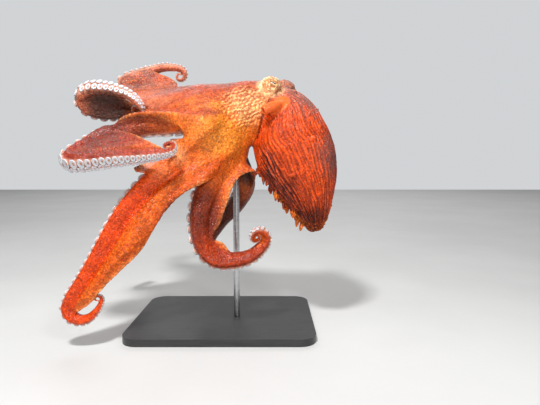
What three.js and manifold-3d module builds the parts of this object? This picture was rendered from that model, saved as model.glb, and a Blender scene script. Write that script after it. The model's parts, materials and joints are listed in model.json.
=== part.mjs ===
// A giant Pacific octopus gliding above the sea bed, as a life-size display model on a plain stand.
// Millimetres, +Z up. The origin is the centre of the stand's underside. The head looks towards -X,
// the animal's left side faces -Y, and the bag of the mantle hangs on the +X side.
import * as THREE from "three";
import { ConvexGeometry } from "three/addons/geometries/ConvexGeometry.js";
import { mergeVertices } from "three/addons/utils/BufferGeometryUtils.js";
import Module from "manifold-3d";

const wasm = await Module();
wasm.setup();

// ---- Driving dimensions ----
const GAP = 0.4; // air between touching pieces
const ARM_CLEARANCE = 0.6; // air between an arm and the pieces cut by it
// The crown: the ring of arm roots round the mouth.
const CROWN = { centre: [-10, 0, 520], axis: [-0.864, 0, -0.504], radius: 86 };
// Where an arm begins, inside the trunk.
const ARM_START = { radiusShare: 0.62, ahead: -48, lean: 0.35 };
// The end of an arm; cone is the radius for each unit of length that is left to the tip.
const ARM_TIP = { radius: 1.6, cone: 0.112 };
// An arm's section, in its radii: the keels run between the given shares of the arm's length.
const ARM_SECTION = {
  back: 0.9,
  oral: 0.78,
  keel: 0.25,
  keelAt: 1.35,
  keelStarts: [0.3, 0.45],
  keelEnds: [0.8, 0.95],
  rows: 0.1,
  rowsAt: 0.5,
  spread: 0.3,
};
// The webs: root is their thickness at the crown, and rootEnds is the share of the way out where it ends.
const WEB = { thickness: 6, root: 16, rootEnds: 0.7, sink: 0.88, ringRadius: 102, ringAhead: -26 };
const WEB_START = 0.06; // the share of an arm's length where the webs begin
const STAND = {
  length: 460,
  width: 340,
  thickness: 18,
  corner: 40,
  rodRadius: 8,
  rodAt: [32, -2],
  rodTop: 452,
};

// ---- How finely the surfaces are divided ----
const ARM_SIDES = 8;
// The spacing of an arm's rings in its radii, changing between two shares of its length.
// The least spacing is in millimetres.
const RING_SPACING = { base: 2.1, tip: 1.4, change: [0.55, 0.75], least: 9 };
const TRUNK_SIDES = 14;
const TRUNK_RINGS = 11;
const BALL = [8, 6];
const WEB_GRID = [5, 4];
const FIN_GRID = [4, 3];
const CORNER_SEGMENTS = 4;
const ROD_SIDES = 16;
const LEAST_CELL = 0.01; // cubic millimetres
const SHEET_STEP = 0.02; // to the neighbours that give a web's normal
const CURVE_STEP = 1e-4; // to the neighbours that give an arm's direction
const MERGE_DISTANCE = 1e-3; // millimetres

const vec = (x, y, z) => new THREE.Vector3(x, y, z);
const point = (a) => new THREE.Vector3(...a);
const { clamp, lerp, smoothstep, degToRad } = THREE.MathUtils;

const smoothCurve = (points) => new THREE.CatmullRomCurve3(points, false, "centripetal");

// The crown's own directions: out of the mouth, to the animal's left, and towards its back.
const forward = point(CROWN.axis).normalize();
const left = vec(0, -1, 0);
const dorsal = vec().crossVectors(forward, left).normalize();
const crownCentre = point(CROWN.centre);

// The outward direction at an angle round the crown, from the back towards the left side.
function outward(angle) {
  const a = degToRad(angle);
  return dorsal.clone().multiplyScalar(Math.cos(a)).addScaledVector(left, Math.sin(a));
}
const crownPoint = (angle, radius, ahead) =>
  crownCentre.clone().addScaledVector(outward(angle), radius).addScaledVector(forward, ahead);

// ---- Arms ----
// Each arm leaves the crown at an angle, passes through its points, and ends in a spiral. Each point
// has the direction in which the suckers face there.
const ARMS = {
  l1: {
    angle: 25, root: 31, taper: 0.58,
    points: [
      [-120, -45, 570], [0, 0.5, -1],
      [-185, -60, 555], [0, 0.7, -0.8],
      [-245, -75, 547], [-0.2, 0.9, -0.6],
      [-286, -83, 546], [-0.5, 0.8, -0.5],
      [-315, -91, 558], [-0.9, 0.4, -0.1],
      [-319, -100, 578], [-0.8, -0.3, 0.5],
      [-297, -108, 592], [-0.3, -0.75, 0.65],
      [-262, -114, 593], [0, -0.8, 0.6],
      [-226, -117, 586], [0.15, -0.8, 0.55],
      [-200, -116, 575], [0.4, -0.75, 0.5],
      [-184, -114, 559], [0.8, -0.5, 0.3],
    ],
    curl: { radius: 18, shrink: 0.28, turns: 1.1 },
  },
  l2: {
    angle: 68, root: 31, taper: 0.56,
    points: [
      [-95, -96, 516], [0, 0.5, -1],
      [-160, -100, 510], [0, 0.5, -1],
      [-202, -102, 501], [0, 0.6, -0.9],
      [-236, -106, 489], [-0.2, 0.7, -0.7],
      [-270, -112, 475], [-0.5, 0.8, 0.1],
      [-302, -120, 457], [-0.7, 0.6, 0.3],
      [-326, -134, 440], [-0.9, 0.4, 0.1],
      [-330, -156, 428], [-1, -0.1, -0.2],
      [-308, -177, 423], [-0.4, -0.6, -0.75],
      [-271, -187, 424], [0, -0.7, -0.7],
      [-235, -190, 428], [0, -0.7, -0.7],
      [-190, -190, 432], [0, -0.7, -0.7],
      [-141, -188, 436], [0, -0.7, -0.7],
      [-105, -180, 442], [0.3, -0.6, -0.7],
    ],
    curl: { radius: 19, shrink: 0.28, turns: 1.2 },
  },
  l3: {
    angle: 112, root: 30, taper: 0.38,
    points: [
      [-100, -112, 421], [-0.75, 0.75, 0.3],
      [-158, -128, 372], [-0.7, 0.75, 0.35],
      [-208, -140, 314], [-0.7, 0.7, 0.4],
      [-243, -150, 257], [-0.7, 0.7, 0.4],
      [-272, -160, 203], [-0.7, 0.7, 0.35],
      [-300, -168, 157], [-0.7, 0.65, 0.3],
      [-326, -173, 120], [-0.85, 0.5, 0.1],
      [-338, -176, 90], [-0.9, 0.4, -0.1],
      [-322, -177, 70], [-0.5, 0.35, -0.85],
      [-295, -176, 69], [0.3, 0.35, -0.9],
      [-273, -174, 87], [0.8, 0.35, -0.5],
      [-262, -172, 108], [0.95, 0.3, 0.1],
    ],
    curl: { radius: 11, shrink: 0.3, turns: 0.9 },
  },
  l4: {
    angle: 155, root: 34, taper: 0.38,
    points: [
      [-22, -70, 377], [-0.75, 0.7, -0.1],
      [-42, -84, 325], [-0.8, 0.65, 0],
      [-49, -90, 272], [-0.85, 0.55, 0],
      [-40, -92, 222], [-0.7, 0.5, -0.5],
      [-10, -92, 189], [-0.2, 0.4, -0.9],
      [34, -91, 186], [0.1, 0.4, -0.9],
      [74, -88, 196], [0.5, 0.4, -0.75],
      [100, -85, 218], [0.9, 0.4, -0.2],
    ],
    curl: { radius: 29, shrink: 0.27, turns: 1.7 },
  },
  r4: {
    angle: 205, root: 31, taper: 0.5,
    points: [
      [44, 44, 408], [-0.7, 0.6, -0.3],
      [54, 56, 362], [-0.7, 0.65, 0],
      [30, 76, 312], [-0.75, 0.6, 0.1],
      [-16, 95, 261], [-0.7, 0.5, 0],
      [-47, 118, 217], [-0.6, 0.3, -0.5],
      [-74, 148, 192], [-0.5, 0.3, -0.9],
      [-86, 182, 196], [-0.3, 0.6, -0.7],
    ],
    curl: { radius: 24, shrink: 0.28, turns: 1.5 },
  },
  r3: {
    angle: 248, root: 32, taper: 0.5,
    points: [
      [-34, 100, 458], [-0.6, -0.7, 0],
      [-110, 125, 401], [-0.7, -0.6, 0.3],
      [-188, 145, 328], [-0.7, -0.5, 0.5],
      [-262, 160, 250], [-0.7, -0.5, 0.5],
      [-310, 180, 192], [-0.8, -0.4, 0.2],
      [-330, 210, 160], [-0.6, 0, -0.8],
      [-322, 240, 164], [-0.2, 0.8, -0.6],
    ],
    curl: { radius: 26, shrink: 0.28, turns: 1.5 },
  },
  r2: {
    angle: 292, root: 31, taper: 0.55,
    points: [
      [-95, 122, 545], [-0.2, -0.6, -0.8],
      [-160, 150, 550], [0, -0.5, -0.85],
      [-225, 178, 552], [-0.2, -0.4, -0.9],
      [-277, 210, 560], [-0.7, -0.2, -0.6],
      [-294, 244, 582], [-0.9, 0.3, 0],
      [-264, 268, 602], [-0.3, 0.7, 0.6],
      [-214, 270, 606], [0.1, 0.7, 0.7],
      [-174, 260, 596], [0.6, 0.6, 0.5],
    ],
    curl: { radius: 19, shrink: 0.28, turns: 1.3 },
  },
  r1: {
    angle: 335, root: 28, taper: 0.62,
    points: [
      [-132, 56, 600], [0, -0.2, -1],
      [-185, 66, 607], [0, -0.1, -1],
      [-225, 76, 609], [0, 0, -1],
      [-256, 83, 611], [-0.4, 0, -0.9],
      [-278, 87, 622], [-0.9, 0, -0.4],
      [-281, 89, 641], [-1, 0, 0.2],
      [-265, 91, 653], [-0.5, 0, 0.9],
      [-240, 92, 662], [-0.4, 0, 0.9],
      [-207, 91, 672], [-0.3, 0, 1],
      [-172, 90, 681], [0, 0, 1],
      [-130, 88, 679], [0, 0, 1],
    ],
    curl: { radius: 20, shrink: 0.3, turns: 1.2 },
  },
};
const ARM_CUTS = [0.05, 0.34, 0.66, 1]; // where an arm starts and is parted, as shares of its length
const LENGTHS = ["base", "mid", "tip"];
const SPIRAL_STEP = Math.PI / 6;
const STATIONS_PER_SPAN = 8;

// A point behind an arm's root, and the root itself.
function rootKnots(angle) {
  const facing = outward(angle).negate().addScaledVector(forward, ARM_START.lean);
  return [
    { at: crownPoint(angle, CROWN.radius * ARM_START.radiusShare, ARM_START.ahead), facing },
    { at: crownPoint(angle, CROWN.radius, 0), facing },
  ];
}

// The knots of a spiral that goes on from the last two knots and bends away from the suckers.
function spiralKnots(knots, { radius, shrink, turns }) {
  const last = knots[knots.length - 1];
  const tangent = last.at.clone().sub(knots[knots.length - 2].at).normalize();
  const inward = last.facing.clone().negate();
  inward.addScaledVector(tangent, -inward.dot(tangent)).normalize();
  const at = last.at.clone();
  const made = [];
  let r = radius;
  for (let turned = 0; turned < turns * 2 * Math.PI; turned += SPIRAL_STEP) {
    const heading = turned + SPIRAL_STEP / 2;
    at.addScaledVector(tangent, Math.cos(heading) * r * SPIRAL_STEP);
    at.addScaledVector(inward, Math.sin(heading) * r * SPIRAL_STEP);
    const end = turned + SPIRAL_STEP;
    const facing = tangent.clone().multiplyScalar(Math.sin(end)).addScaledVector(inward, -Math.cos(end));
    made.push({ at: at.clone(), facing });
    r *= Math.pow(shrink, SPIRAL_STEP / (2 * Math.PI));
  }
  return made;
}

// An arm's centre line as closely spaced stations, each with its place along the arm and its directions.
function armLine(arm) {
  const knots = rootKnots(arm.angle);
  for (let i = 0; i < arm.points.length; i += 2)
    knots.push({ at: point(arm.points[i]), facing: point(arm.points[i + 1]).normalize() });
  knots.push(...spiralKnots(knots, arm.curl));
  const curve = smoothCurve(knots.map((k) => k.at));
  const spans = knots.length - 1;
  const count = spans * STATIONS_PER_SPAN;
  const line = [];
  for (let i = 0; i <= count; i++) {
    const t = i / count;
    const span = Math.min(Math.floor(t * spans), spans - 1);
    const before = curve.getPoint(Math.max(t - CURVE_STEP, 0));
    const along = curve.getPoint(Math.min(t + CURVE_STEP, 1)).sub(before).normalize();
    const turned = smoothstep(t * spans - span, 0, 1);
    const facing = knots[span].facing.clone().lerp(knots[span + 1].facing, turned);
    const up = facing.addScaledVector(along, -facing.dot(along)).normalize().negate();
    const at = curve.getPoint(t);
    line.push({ at, along, up, side: vec().crossVectors(along, up), run: 0 });
    if (i) line[i].run = line[i - 1].run + at.distanceTo(line[i - 1].at);
  }
  return line;
}
for (const arm of Object.values(ARMS)) arm.line = armLine(arm);
const armRun = (arm) => arm.line[arm.line.length - 1].run;

// An arm's radius: a slow taper that gives way to a cone towards the tip, so that the turns of a
// spiral stay apart.
function armRadius(arm, share) {
  const slow = arm.root * Math.pow(1 - share, arm.taper);
  const cone = ARM_TIP.cone * (1 - share) * armRun(arm);
  return ARM_TIP.radius + (share < 1 ? Math.pow(slow ** -4 + cone ** -4, -0.25) : 0);
}

// The station at a share of an arm's length.
function station(arm, share) {
  const { line } = arm;
  const run = clamp(share, 0, 1) * armRun(arm);
  let i = 1;
  while (i < line.length - 1 && line[i].run < run) i++;
  const [a, b] = [line[i - 1], line[i]];
  const k = clamp((run - a.run) / (b.run - a.run), 0, 1);
  const mix = (name) => a[name].clone().lerp(b[name], k);
  return {
    at: mix("at"),
    along: mix("along").normalize(),
    up: mix("up").normalize(),
    side: mix("side").normalize(),
    radius: armRadius(arm, clamp(share, 0, 1)),
  };
}

// An arm's section at an angle from the back: a rounded back, a thin keel down each side beyond the
// webs, and two rows of suckers on a flatter face.
function sectionPoint(angle, radius, share) {
  const { back, oral, keel, keelAt, keelStarts, keelEnds, rows, rowsAt, spread } = ARM_SECTION;
  const near = (offset) => Math.exp(-((offset / spread) ** 2));
  const keelShare = smoothstep(share, ...keelStarts) * (1 - smoothstep(share, ...keelEnds));
  const wide = Math.sin(angle) * (1 + keel * keelShare * near(Math.abs(angle) - keelAt));
  const high = Math.cos(angle) * (Math.cos(angle) > 0 ? back : oral);
  return [radius * wide, radius * (high - rows * near(Math.PI - Math.abs(angle) - rowsAt))];
}

// ---- Solids from deformed three.js geometry ----
function solid(geometry) {
  geometry.deleteAttribute("normal");
  geometry.deleteAttribute("uv");
  const merged = mergeVertices(geometry, MERGE_DISTANCE);
  return new wasm.Manifold(
    new wasm.Mesh({
      numProp: 3,
      vertProperties: new Float32Array(merged.attributes.position.array),
      triVerts: new Uint32Array(merged.index.array),
    }),
  );
}

// Moves each vertex of a geometry to where a function puts it.
function bend(geometry, place) {
  const { position } = geometry.attributes;
  for (let i = 0; i < position.count; i++) {
    const p = place(position.getX(i), position.getY(i), position.getZ(i));
    position.setXYZ(i, p.x, p.y, p.z);
  }
  return geometry;
}

// A block of columns by rows of cells, one deep, that stays sound where a bent sheet folds over itself:
// each cell is six tetrahedra round its long diagonal, one for each order of stepping across it.
function blockSolid(columns, rows, place) {
  const orders = [[0, 1, 2], [0, 2, 1], [1, 0, 2], [1, 2, 0], [2, 0, 1], [2, 1, 0]];
  const pieces = [];
  for (let i = 0; i < columns; i++) {
    for (let j = 0; j < rows; j++) {
      for (const order of orders) {
        const corner = [i, j, 0];
        const corners = [place(i / columns, j / rows, 0)];
        for (const axis of order) {
          corner[axis] += 1;
          corners.push(place(corner[0] / columns, corner[1] / rows, corner[2]));
        }
        const [a, b, c] = corners.slice(1).map((p) => p.clone().sub(corners[0]));
        if (Math.abs(a.cross(b).dot(c)) > LEAST_CELL) pieces.push(solid(new ConvexGeometry(corners)));
      }
    }
  }
  return wasm.Manifold.union(pieces);
}

// Of the bodies that a cut leaves, the largest.
function largest(made) {
  return made.decompose().sort((a, b) => b.volume() - a.volume())[0];
}

// The shares at which a length of an arm has its rings: closer together where it is thinner.
function ringShares(arm, start, end) {
  const shares = [start];
  while (shares[shares.length - 1] < end) {
    const here = shares[shares.length - 1];
    const spacing = lerp(RING_SPACING.base, RING_SPACING.tip, smoothstep(here, ...RING_SPACING.change));
    shares.push(here + Math.max(station(arm, here).radius * spacing, RING_SPACING.least) / armRun(arm));
  }
  const scale = (end - start) / (shares[shares.length - 1] - start);
  return shares.map((share) => start + (share - start) * scale);
}

// A length of an arm, fattened by grow.
function armLength(arm, start, end, grow = 0) {
  const shares = ringShares(arm, start, end);
  const rings = shares.length - 1;
  shares[0] -= grow / armRun(arm);
  shares[rings] += grow / armRun(arm);
  const tube = new THREE.CylinderGeometry(1, 1, 1, ARM_SIDES, rings);
  return solid(
    bend(tube, (x, y, z) => {
      const share = shares[Math.round((y + 0.5) * rings)];
      const s = station(arm, share);
      const onAxis = Math.hypot(x, z) < 0.5;
      const [wide, high] = onAxis ? [0, 0] : sectionPoint(Math.atan2(x, z), s.radius + grow, share);
      return s.at.clone().addScaledVector(s.side, wide).addScaledVector(s.up, high);
    }),
  );
}

// The shares between which an arm's length i lies.
function lengthShares(arm, i) {
  const halfGap = GAP / 2 / armRun(arm);
  return [ARM_CUTS[i] + (i ? halfGap : 0), ARM_CUTS[i + 1] - (i < LENGTHS.length - 1 ? halfGap : 0)];
}

// A point in an arm's flank at a share of its length, on the side that a direction points to.
function flank(name, share, direction) {
  const s = station(ARMS[name], share);
  const out = direction.clone().addScaledVector(s.along, -direction.dot(s.along)).normalize();
  return s.at.addScaledVector(out, s.radius * WEB.sink);
}

// The line along an arm's flank between two shares, with the direction to the flank turning on the way.
function flankLine([name, start, end, first, last]) {
  return (k) => flank(name, lerp(start, end, k), first.clone().lerp(last, k).normalize());
}

// A side of a web: a line along an arm's flank, or a curve through points.
function sideLine(side) {
  if (typeof side[0] === "string") return flankLine(side);
  const curve = smoothCurve(side.map(point));
  return (k) => curve.getPoint(k);
}

// A web: a sheet between two sides, from an inner line to a free edge that passes through the edge
// points. The surface blends its four border lines, and it thickens towards the crown when it has a root.
function webSheet({ from, to, inner = [], edge, root = WEB.thickness, swell = [0, 0, 0], grow = 0 }) {
  const [sideA, sideB] = [sideLine(from), sideLine(to)];
  const border = (k, points) => smoothCurve([sideA(k), ...points.map(point), sideB(k)]);
  const [innerLine, edgeLine] = [border(0, inner), border(1, edge)];
  const surface = (a, b) => {
    const p = sideA(b).multiplyScalar(1 - a).addScaledVector(sideB(b), a);
    p.addScaledVector(innerLine.getPointAt(a), 1 - b).addScaledVector(edgeLine.getPointAt(a), b);
    p.addScaledVector(sideA(0), -(1 - a) * (1 - b)).addScaledVector(sideB(0), -a * (1 - b));
    p.addScaledVector(sideA(1), -(1 - a) * b).addScaledVector(sideB(1), -a * b);
    return p.addScaledVector(point(swell), 16 * a * (1 - a) * b * (1 - b));
  };
  const place = (a, b, z) => {
    const behind = surface(Math.max(a - SHEET_STEP, 0), b);
    const across = surface(Math.min(a + SHEET_STEP, 1), b).sub(behind);
    const below = surface(a, Math.max(b - SHEET_STEP, 0));
    const outwards = surface(a, Math.min(b + SHEET_STEP, 1)).sub(below);
    const normal = vec().crossVectors(across, outwards).normalize();
    const thickness = lerp(root, WEB.thickness, smoothstep(b, 0, WEB.rootEnds));
    const offset = z ? thickness - WEB.thickness / 2 + grow : -WEB.thickness / 2 - grow;
    const wider = across.setLength(grow * (2 * a - 1)).add(outwards.setLength(grow * (2 * b - 1)));
    return surface(a, b).add(wider).addScaledVector(normal, offset);
  };
  return blockSolid(...(root > WEB.thickness ? WEB_GRID : FIN_GRID), place);
}

// A rounded body along a spine: rings of given half-widths, closed by round ends.
function bodyAlong(spine, widths, grow, flatness) {
  const line = smoothCurve(spine.map(point));
  const size = new THREE.CatmullRomCurve3(widths.map((w, i) => vec(i, w, 0)), false, "catmullrom");
  return solid(
    bend(new THREE.SphereGeometry(1, TRUNK_SIDES, TRUNK_RINGS), (x, y, z) => {
      const t = clamp((1 - y) / 2, 0, 1);
      const along = line.getTangent(t);
      const side = vec().crossVectors(along, vec(0, 0, 1)).normalize();
      const up = vec().crossVectors(side, along);
      const ring = Math.hypot(x, z);
      const round = Math.sqrt(ring) * (size.getPoint(t).y + grow);
      const p = line.getPoint(t).addScaledVector(along, -y * grow);
      if (ring < 1e-6) return p;
      p.addScaledVector(side, (x / ring) * round * flatness);
      return p.addScaledVector(up, (-z / ring) * round);
    }),
  );
}

// ---- The animal's trunk ----
const HEAD = {
  spine: [[160, -4, 552], [122, -2, 560], [82, 0, 556], [42, 0, 545], [2, 0, 527], [-36, 0, 507]],
  widths: [50, 70, 76, 84, 110, 92],
};
const MANTLE = {
  spine: [
    [92, -3, 566], [148, -8, 528], [180, -20, 455], [205, -28, 385], [222, -32, 325], [238, -35, 250],
  ],
  widths: [84, 97, 101, 88, 66, 34],
  flatness: 0.92, // of its width to its height
};
const EYES = {
  left: { mound: [122, -38, 607], at: [126, -53, 611] },
  right: { mound: [160, 36, 612], at: [168, 50, 616] },
};
const EYE = { radius: 11, moundRadius: 27 };
const SIPHON = {
  line: [[150, -70, 566], [136, -82, 558], [118, -90, 551], [102, -99, 543]],
  radii: [7, 13, 14, 12],
  bore: { share: 0.62, from: 0.55 }, // of the radius, and of the length
  grid: [8, 3],
};

const headBody = (grow) => bodyAlong(HEAD.spine, HEAD.widths, grow, 1);
const mantleBody = (grow) => bodyAlong(MANTLE.spine, MANTLE.widths, grow, MANTLE.flatness);

function ball(at, radius) {
  return solid(new THREE.SphereGeometry(radius, ...BALL).translate(...at));
}

// The siphon: a tapering tube along a line, with its mouth hollowed out.
function siphonTube(grow) {
  const line = smoothCurve(SIPHON.line.map(point));
  const radius = smoothCurve(SIPHON.radii.map((r, i) => vec(i, r, 0)));
  const tube = (scale, from, to) =>
    solid(
      bend(new THREE.CylinderGeometry(1, 1, 1, ...SIPHON.grid), (x, y, z) => {
        const t = lerp(from, to, y + 0.5);
        const along = line.getTangent(t);
        const side = vec().crossVectors(along, vec(0, 0, 1)).normalize();
        const up = vec().crossVectors(side, along);
        const r = (radius.getPoint(t).y + grow) * scale;
        return line.getPoint(t).addScaledVector(side, x * r).addScaledVector(up, z * r);
      }),
    );
  return { outer: tube(1, 0, 1), bore: tube(SIPHON.bore.share, SIPHON.bore.from, 1.001) };
}

// ---- Webs between the arms, and the fins that fill an arm's own bends ----
const rim = (name, turn) => outward(ARMS[name].angle + turn);
const crownRim = (angle) => crownPoint(angle, WEB.ringRadius, WEB.ringAhead).toArray();
const WEBS = {
  web_l1_l2: {
    from: ["l1", WEB_START, 0.5, rim("l1", 40), vec(0, -0.3, -1)],
    to: ["l2", WEB_START, 0.36, rim("l2", -40), vec(0, 0, 1)],
    inner: [crownRim(46)],
    edge: [[-235, -85, 530], [-215, -95, 525]],
    root: WEB.root,
  },
  web_l2_l3: {
    from: ["l2", WEB_START, 0.4, rim("l2", 40), vec(0, -0.8, 0.6)],
    to: ["l3", WEB_START, 0.3, rim("l3", -40), vec(-0.7, -0.6, 0.3)],
    inner: [crownRim(90)],
    edge: [
      [-217, -132, 525], [-175, -135, 530], [-134, -135, 526], [-103, -133, 514],
      [-80, -130, 487], [-76, -130, 458], [-88, -134, 428], [-114, -138, 410], [-152, -141, 397],
    ],
    root: WEB.root,
    swell: [0, -14, 0],
  },
  web_l3_l4: {
    from: ["l3", WEB_START, 0.83, rim("l3", 40), vec(0.75, -0.35, 0.55)],
    to: ["l4", WEB_START, 0.24, rim("l4", -40), vec(0.3, -1, 0)],
    inner: [crownRim(133)],
    edge: [
      [-279, -186, 112], [-262, -184, 134], [-221, -171, 177], [-175, -158, 222],
      [-120, -148, 313], [-66, -138, 361], [-34, -130, 376],
    ],
    root: WEB.root,
    swell: [0, -12, 0],
  },
  web_l4_r4: {
    from: ["l4", WEB_START, 0.66, rim("l4", 40), vec(0, -0.5, 1)],
    to: ["r4", WEB_START, 0.3, rim("r4", -40), vec(0.7, -0.7, 0)],
    inner: [crownRim(180)],
    edge: [
      [19, -98, 213], [6, -99, 229], [-18, -100, 242], [1, -96, 282],
      [13, -90, 316], [28, -84, 361], [52, -66, 391], [86, -56, 402],
    ],
    root: WEB.root,
  },
  web_r4_r3: {
    from: ["r4", WEB_START, 0.36, rim("r4", 40), vec(0.2, 1, 0)],
    to: ["r3", WEB_START, 0.34, rim("r3", -40), vec(0.5, 0.6, -0.5)],
    inner: [crownRim(227)],
    edge: [[-5, 112, 375], [-60, 128, 392]],
    root: WEB.root,
  },
  web_r3_r2: {
    from: ["r3", WEB_START, 0.4, rim("r3", 40), vec(0, 1, 0.3)],
    to: ["r2", WEB_START, 0.42, rim("r2", -40), vec(0, 0.7, -0.5)],
    inner: [crownRim(270)],
    edge: [[-110, 150, 420], [-100, 155, 480]],
    root: WEB.root,
  },
  web_r2_r1: {
    from: ["r2", WEB_START, 0.45, rim("r2", 40), vec(0, 0, 1)],
    to: ["r1", WEB_START, 0.42, rim("r1", -40), vec(0, 1, 0.3)],
    inner: [crownRim(313)],
    edge: [[-185, 150, 580], [-180, 110, 600]],
    root: WEB.root,
  },
  web_r1_l1: {
    from: ["r1", WEB_START, 0.44, rim("r1", 40), vec(0, -1, 0.3)],
    to: ["l1", WEB_START, 0.42, rim("l1", -40), vec(0, 0, 1)],
    inner: [crownRim(0)],
    edge: [[-240, 20, 600], [-228, -30, 585]],
    root: WEB.root,
  },
  fold_l3: {
    from: [[-80, -128, 482], [-92, -112, 482], [-100, -98, 474]],
    to: [[-178, -138, 400], [-190, -132, 404], [-194, -126, 410]],
    inner: [[-79, -127, 457], [-90, -131, 431], [-114, -135, 413], [-150, -138, 402]],
    edge: [[-115, -96, 482], [-126, -98, 464], [-148, -104, 442], [-174, -116, 420]],
  },
  fin_r1: {
    from: ["r1", 0.5, 0.24, vec(0, -1, 0), vec(0, -1, 0.2)],
    to: ["r1", 0.57, 0.69, vec(0, -1, 0), vec(0, -1, -0.3)],
    edge: [[-126, 60, 630], [-144, 69, 646], [-164, 71, 655], [-184, 75, 663], [-200, 78, 669]],
  },
  fin_l1: {
    from: ["l1", 0.52, 0.3, vec(0, -1, 0), vec(0, -1, 0)],
    to: ["l1", 0.58, 0.8, vec(0.3, -0.5, -1), vec(0, 0, -1)],
    edge: [[-190, -95, 550]],
  },
  fin_l2: {
    from: ["l2", 0.55, 0.4, vec(0, -1, 0.3), vec(0, -1, 0.3)],
    to: ["l2", 0.59, 0.89, vec(0, -0.5, 1), vec(0, -0.5, 1)],
    edge: [[-206, -155, 488], [-175, -170, 481], [-150, -182, 469]],
  },
};

// ---- The stand ----
function roundedPlate({ length, width, thickness, corner }) {
  const [x, y] = [length / 2, width / 2];
  const outline = new THREE.Shape();
  outline.moveTo(-x + corner, -y);
  outline.absarc(x - corner, -y + corner, corner, -Math.PI / 2, 0);
  outline.absarc(x - corner, y - corner, corner, 0, Math.PI / 2);
  outline.absarc(-x + corner, y - corner, corner, Math.PI / 2, Math.PI);
  outline.absarc(-x + corner, -y + corner, corner, Math.PI, 1.5 * Math.PI);
  const settings = { depth: thickness, bevelEnabled: false, curveSegments: CORNER_SEGMENTS };
  return solid(new THREE.ExtrudeGeometry(outline, settings));
}
function rod(radius, bottom, top) {
  const tube = new THREE.CylinderGeometry(radius, radius, top - bottom, ROD_SIDES).rotateX(Math.PI / 2);
  return solid(tube.translate(...STAND.rodAt, (top + bottom) / 2));
}

// ---- Assembly: each piece is cut clear of the pieces made before it ----
const COLOURS = { skin: 0xd9531e, eye: 0xd8b070, plate: 0x2a2c2e, rod: 0xb8bcc0 };
const group = new THREE.Group();

function addNode(name, made, colour, metalness = 0) {
  const body = largest(made);
  const m = body.getMesh();
  const geometry = new THREE.BufferGeometry()
    .setAttribute("position", new THREE.BufferAttribute(new Float32Array(m.vertProperties), 3))
    .setIndex(new THREE.BufferAttribute(m.triVerts, 1));
  const material = new THREE.MeshStandardMaterial({ color: colour, roughness: 0.45, metalness });
  const mesh = new THREE.Mesh(geometry, material);
  mesh.name = name;
  group.add(mesh);
}

const rodSpace = rod(STAND.rodRadius + GAP, STAND.thickness, STAND.rodTop + GAP);
const armSpaces = Object.values(ARMS).map((arm) =>
  LENGTHS.map((_, i) => armLength(arm, ...lengthShares(arm, i), ARM_CLEARANCE)).reduce((sum, space) =>
    sum.add(space),
  ),
);
const allArms = armSpaces.reduce((sum, space) => sum.add(space));

Object.entries(ARMS).forEach(([name, arm], k) => {
  LENGTHS.forEach((part, i) => {
    const whole = armLength(arm, ...lengthShares(arm, i));
    const made = armSpaces.slice(0, k).reduce((body, space) => body.subtract(space), whole);
    addNode("arm_" + name + "_" + part, made.subtract(rodSpace), COLOURS.skin);
  });
});

// The head, with a mound under each eye, and the eyeballs set in the mounds.
let head = headBody(0);
for (const { mound } of Object.values(EYES)) head = head.add(ball(mound, EYE.moundRadius));
for (const [side, { at }] of Object.entries(EYES)) {
  addNode("eye_" + side, ball(at, EYE.radius), COLOURS.eye);
  head = head.subtract(ball(at, EYE.radius + GAP));
}
addNode("head", head.subtract(allArms).subtract(rodSpace), COLOURS.skin);

let headSpace = headBody(GAP);
for (const { mound, at } of Object.values(EYES))
  headSpace = headSpace.add(ball(mound, EYE.moundRadius + GAP)).add(ball(at, EYE.radius + GAP));
const siphon = siphonTube(0);
addNode("siphon", siphon.outer.subtract(siphon.bore).subtract(headSpace), COLOURS.skin);
addNode("mantle", mantleBody(0).subtract(headSpace).subtract(siphonTube(GAP).outer), COLOURS.skin);

// Webs and fins.
const taken = [headSpace, mantleBody(GAP), allArms, rodSpace];
for (const [name, web] of Object.entries(WEBS)) {
  const made = taken.reduce((body, space) => body.subtract(space), webSheet(web));
  addNode(name, made, COLOURS.skin);
  taken.push(webSheet({ ...web, grow: GAP }));
}

addNode("stand_base", roundedPlate(STAND), COLOURS.plate);
addNode("stand_rod", rod(STAND.rodRadius, STAND.thickness + GAP, STAND.rodTop), COLOURS.rod, 1);

export default group;
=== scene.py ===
"""A giant Pacific octopus as a still, life-size display model on a plain stand.

One wet skin covers the whole animal. Its suckers and its eyes are pieces of their own.

Lengths in the tables are millimetres in the frame of the solids: +Z up, the arms towards -X, the
animal's left side facing -Y. Everything is turned into metres where a mesh is made.
"""

import json
import math

import bmesh
import bpy
import numpy as np
from mathutils import Matrix, Vector
from mathutils.kdtree import KDTree

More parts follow.
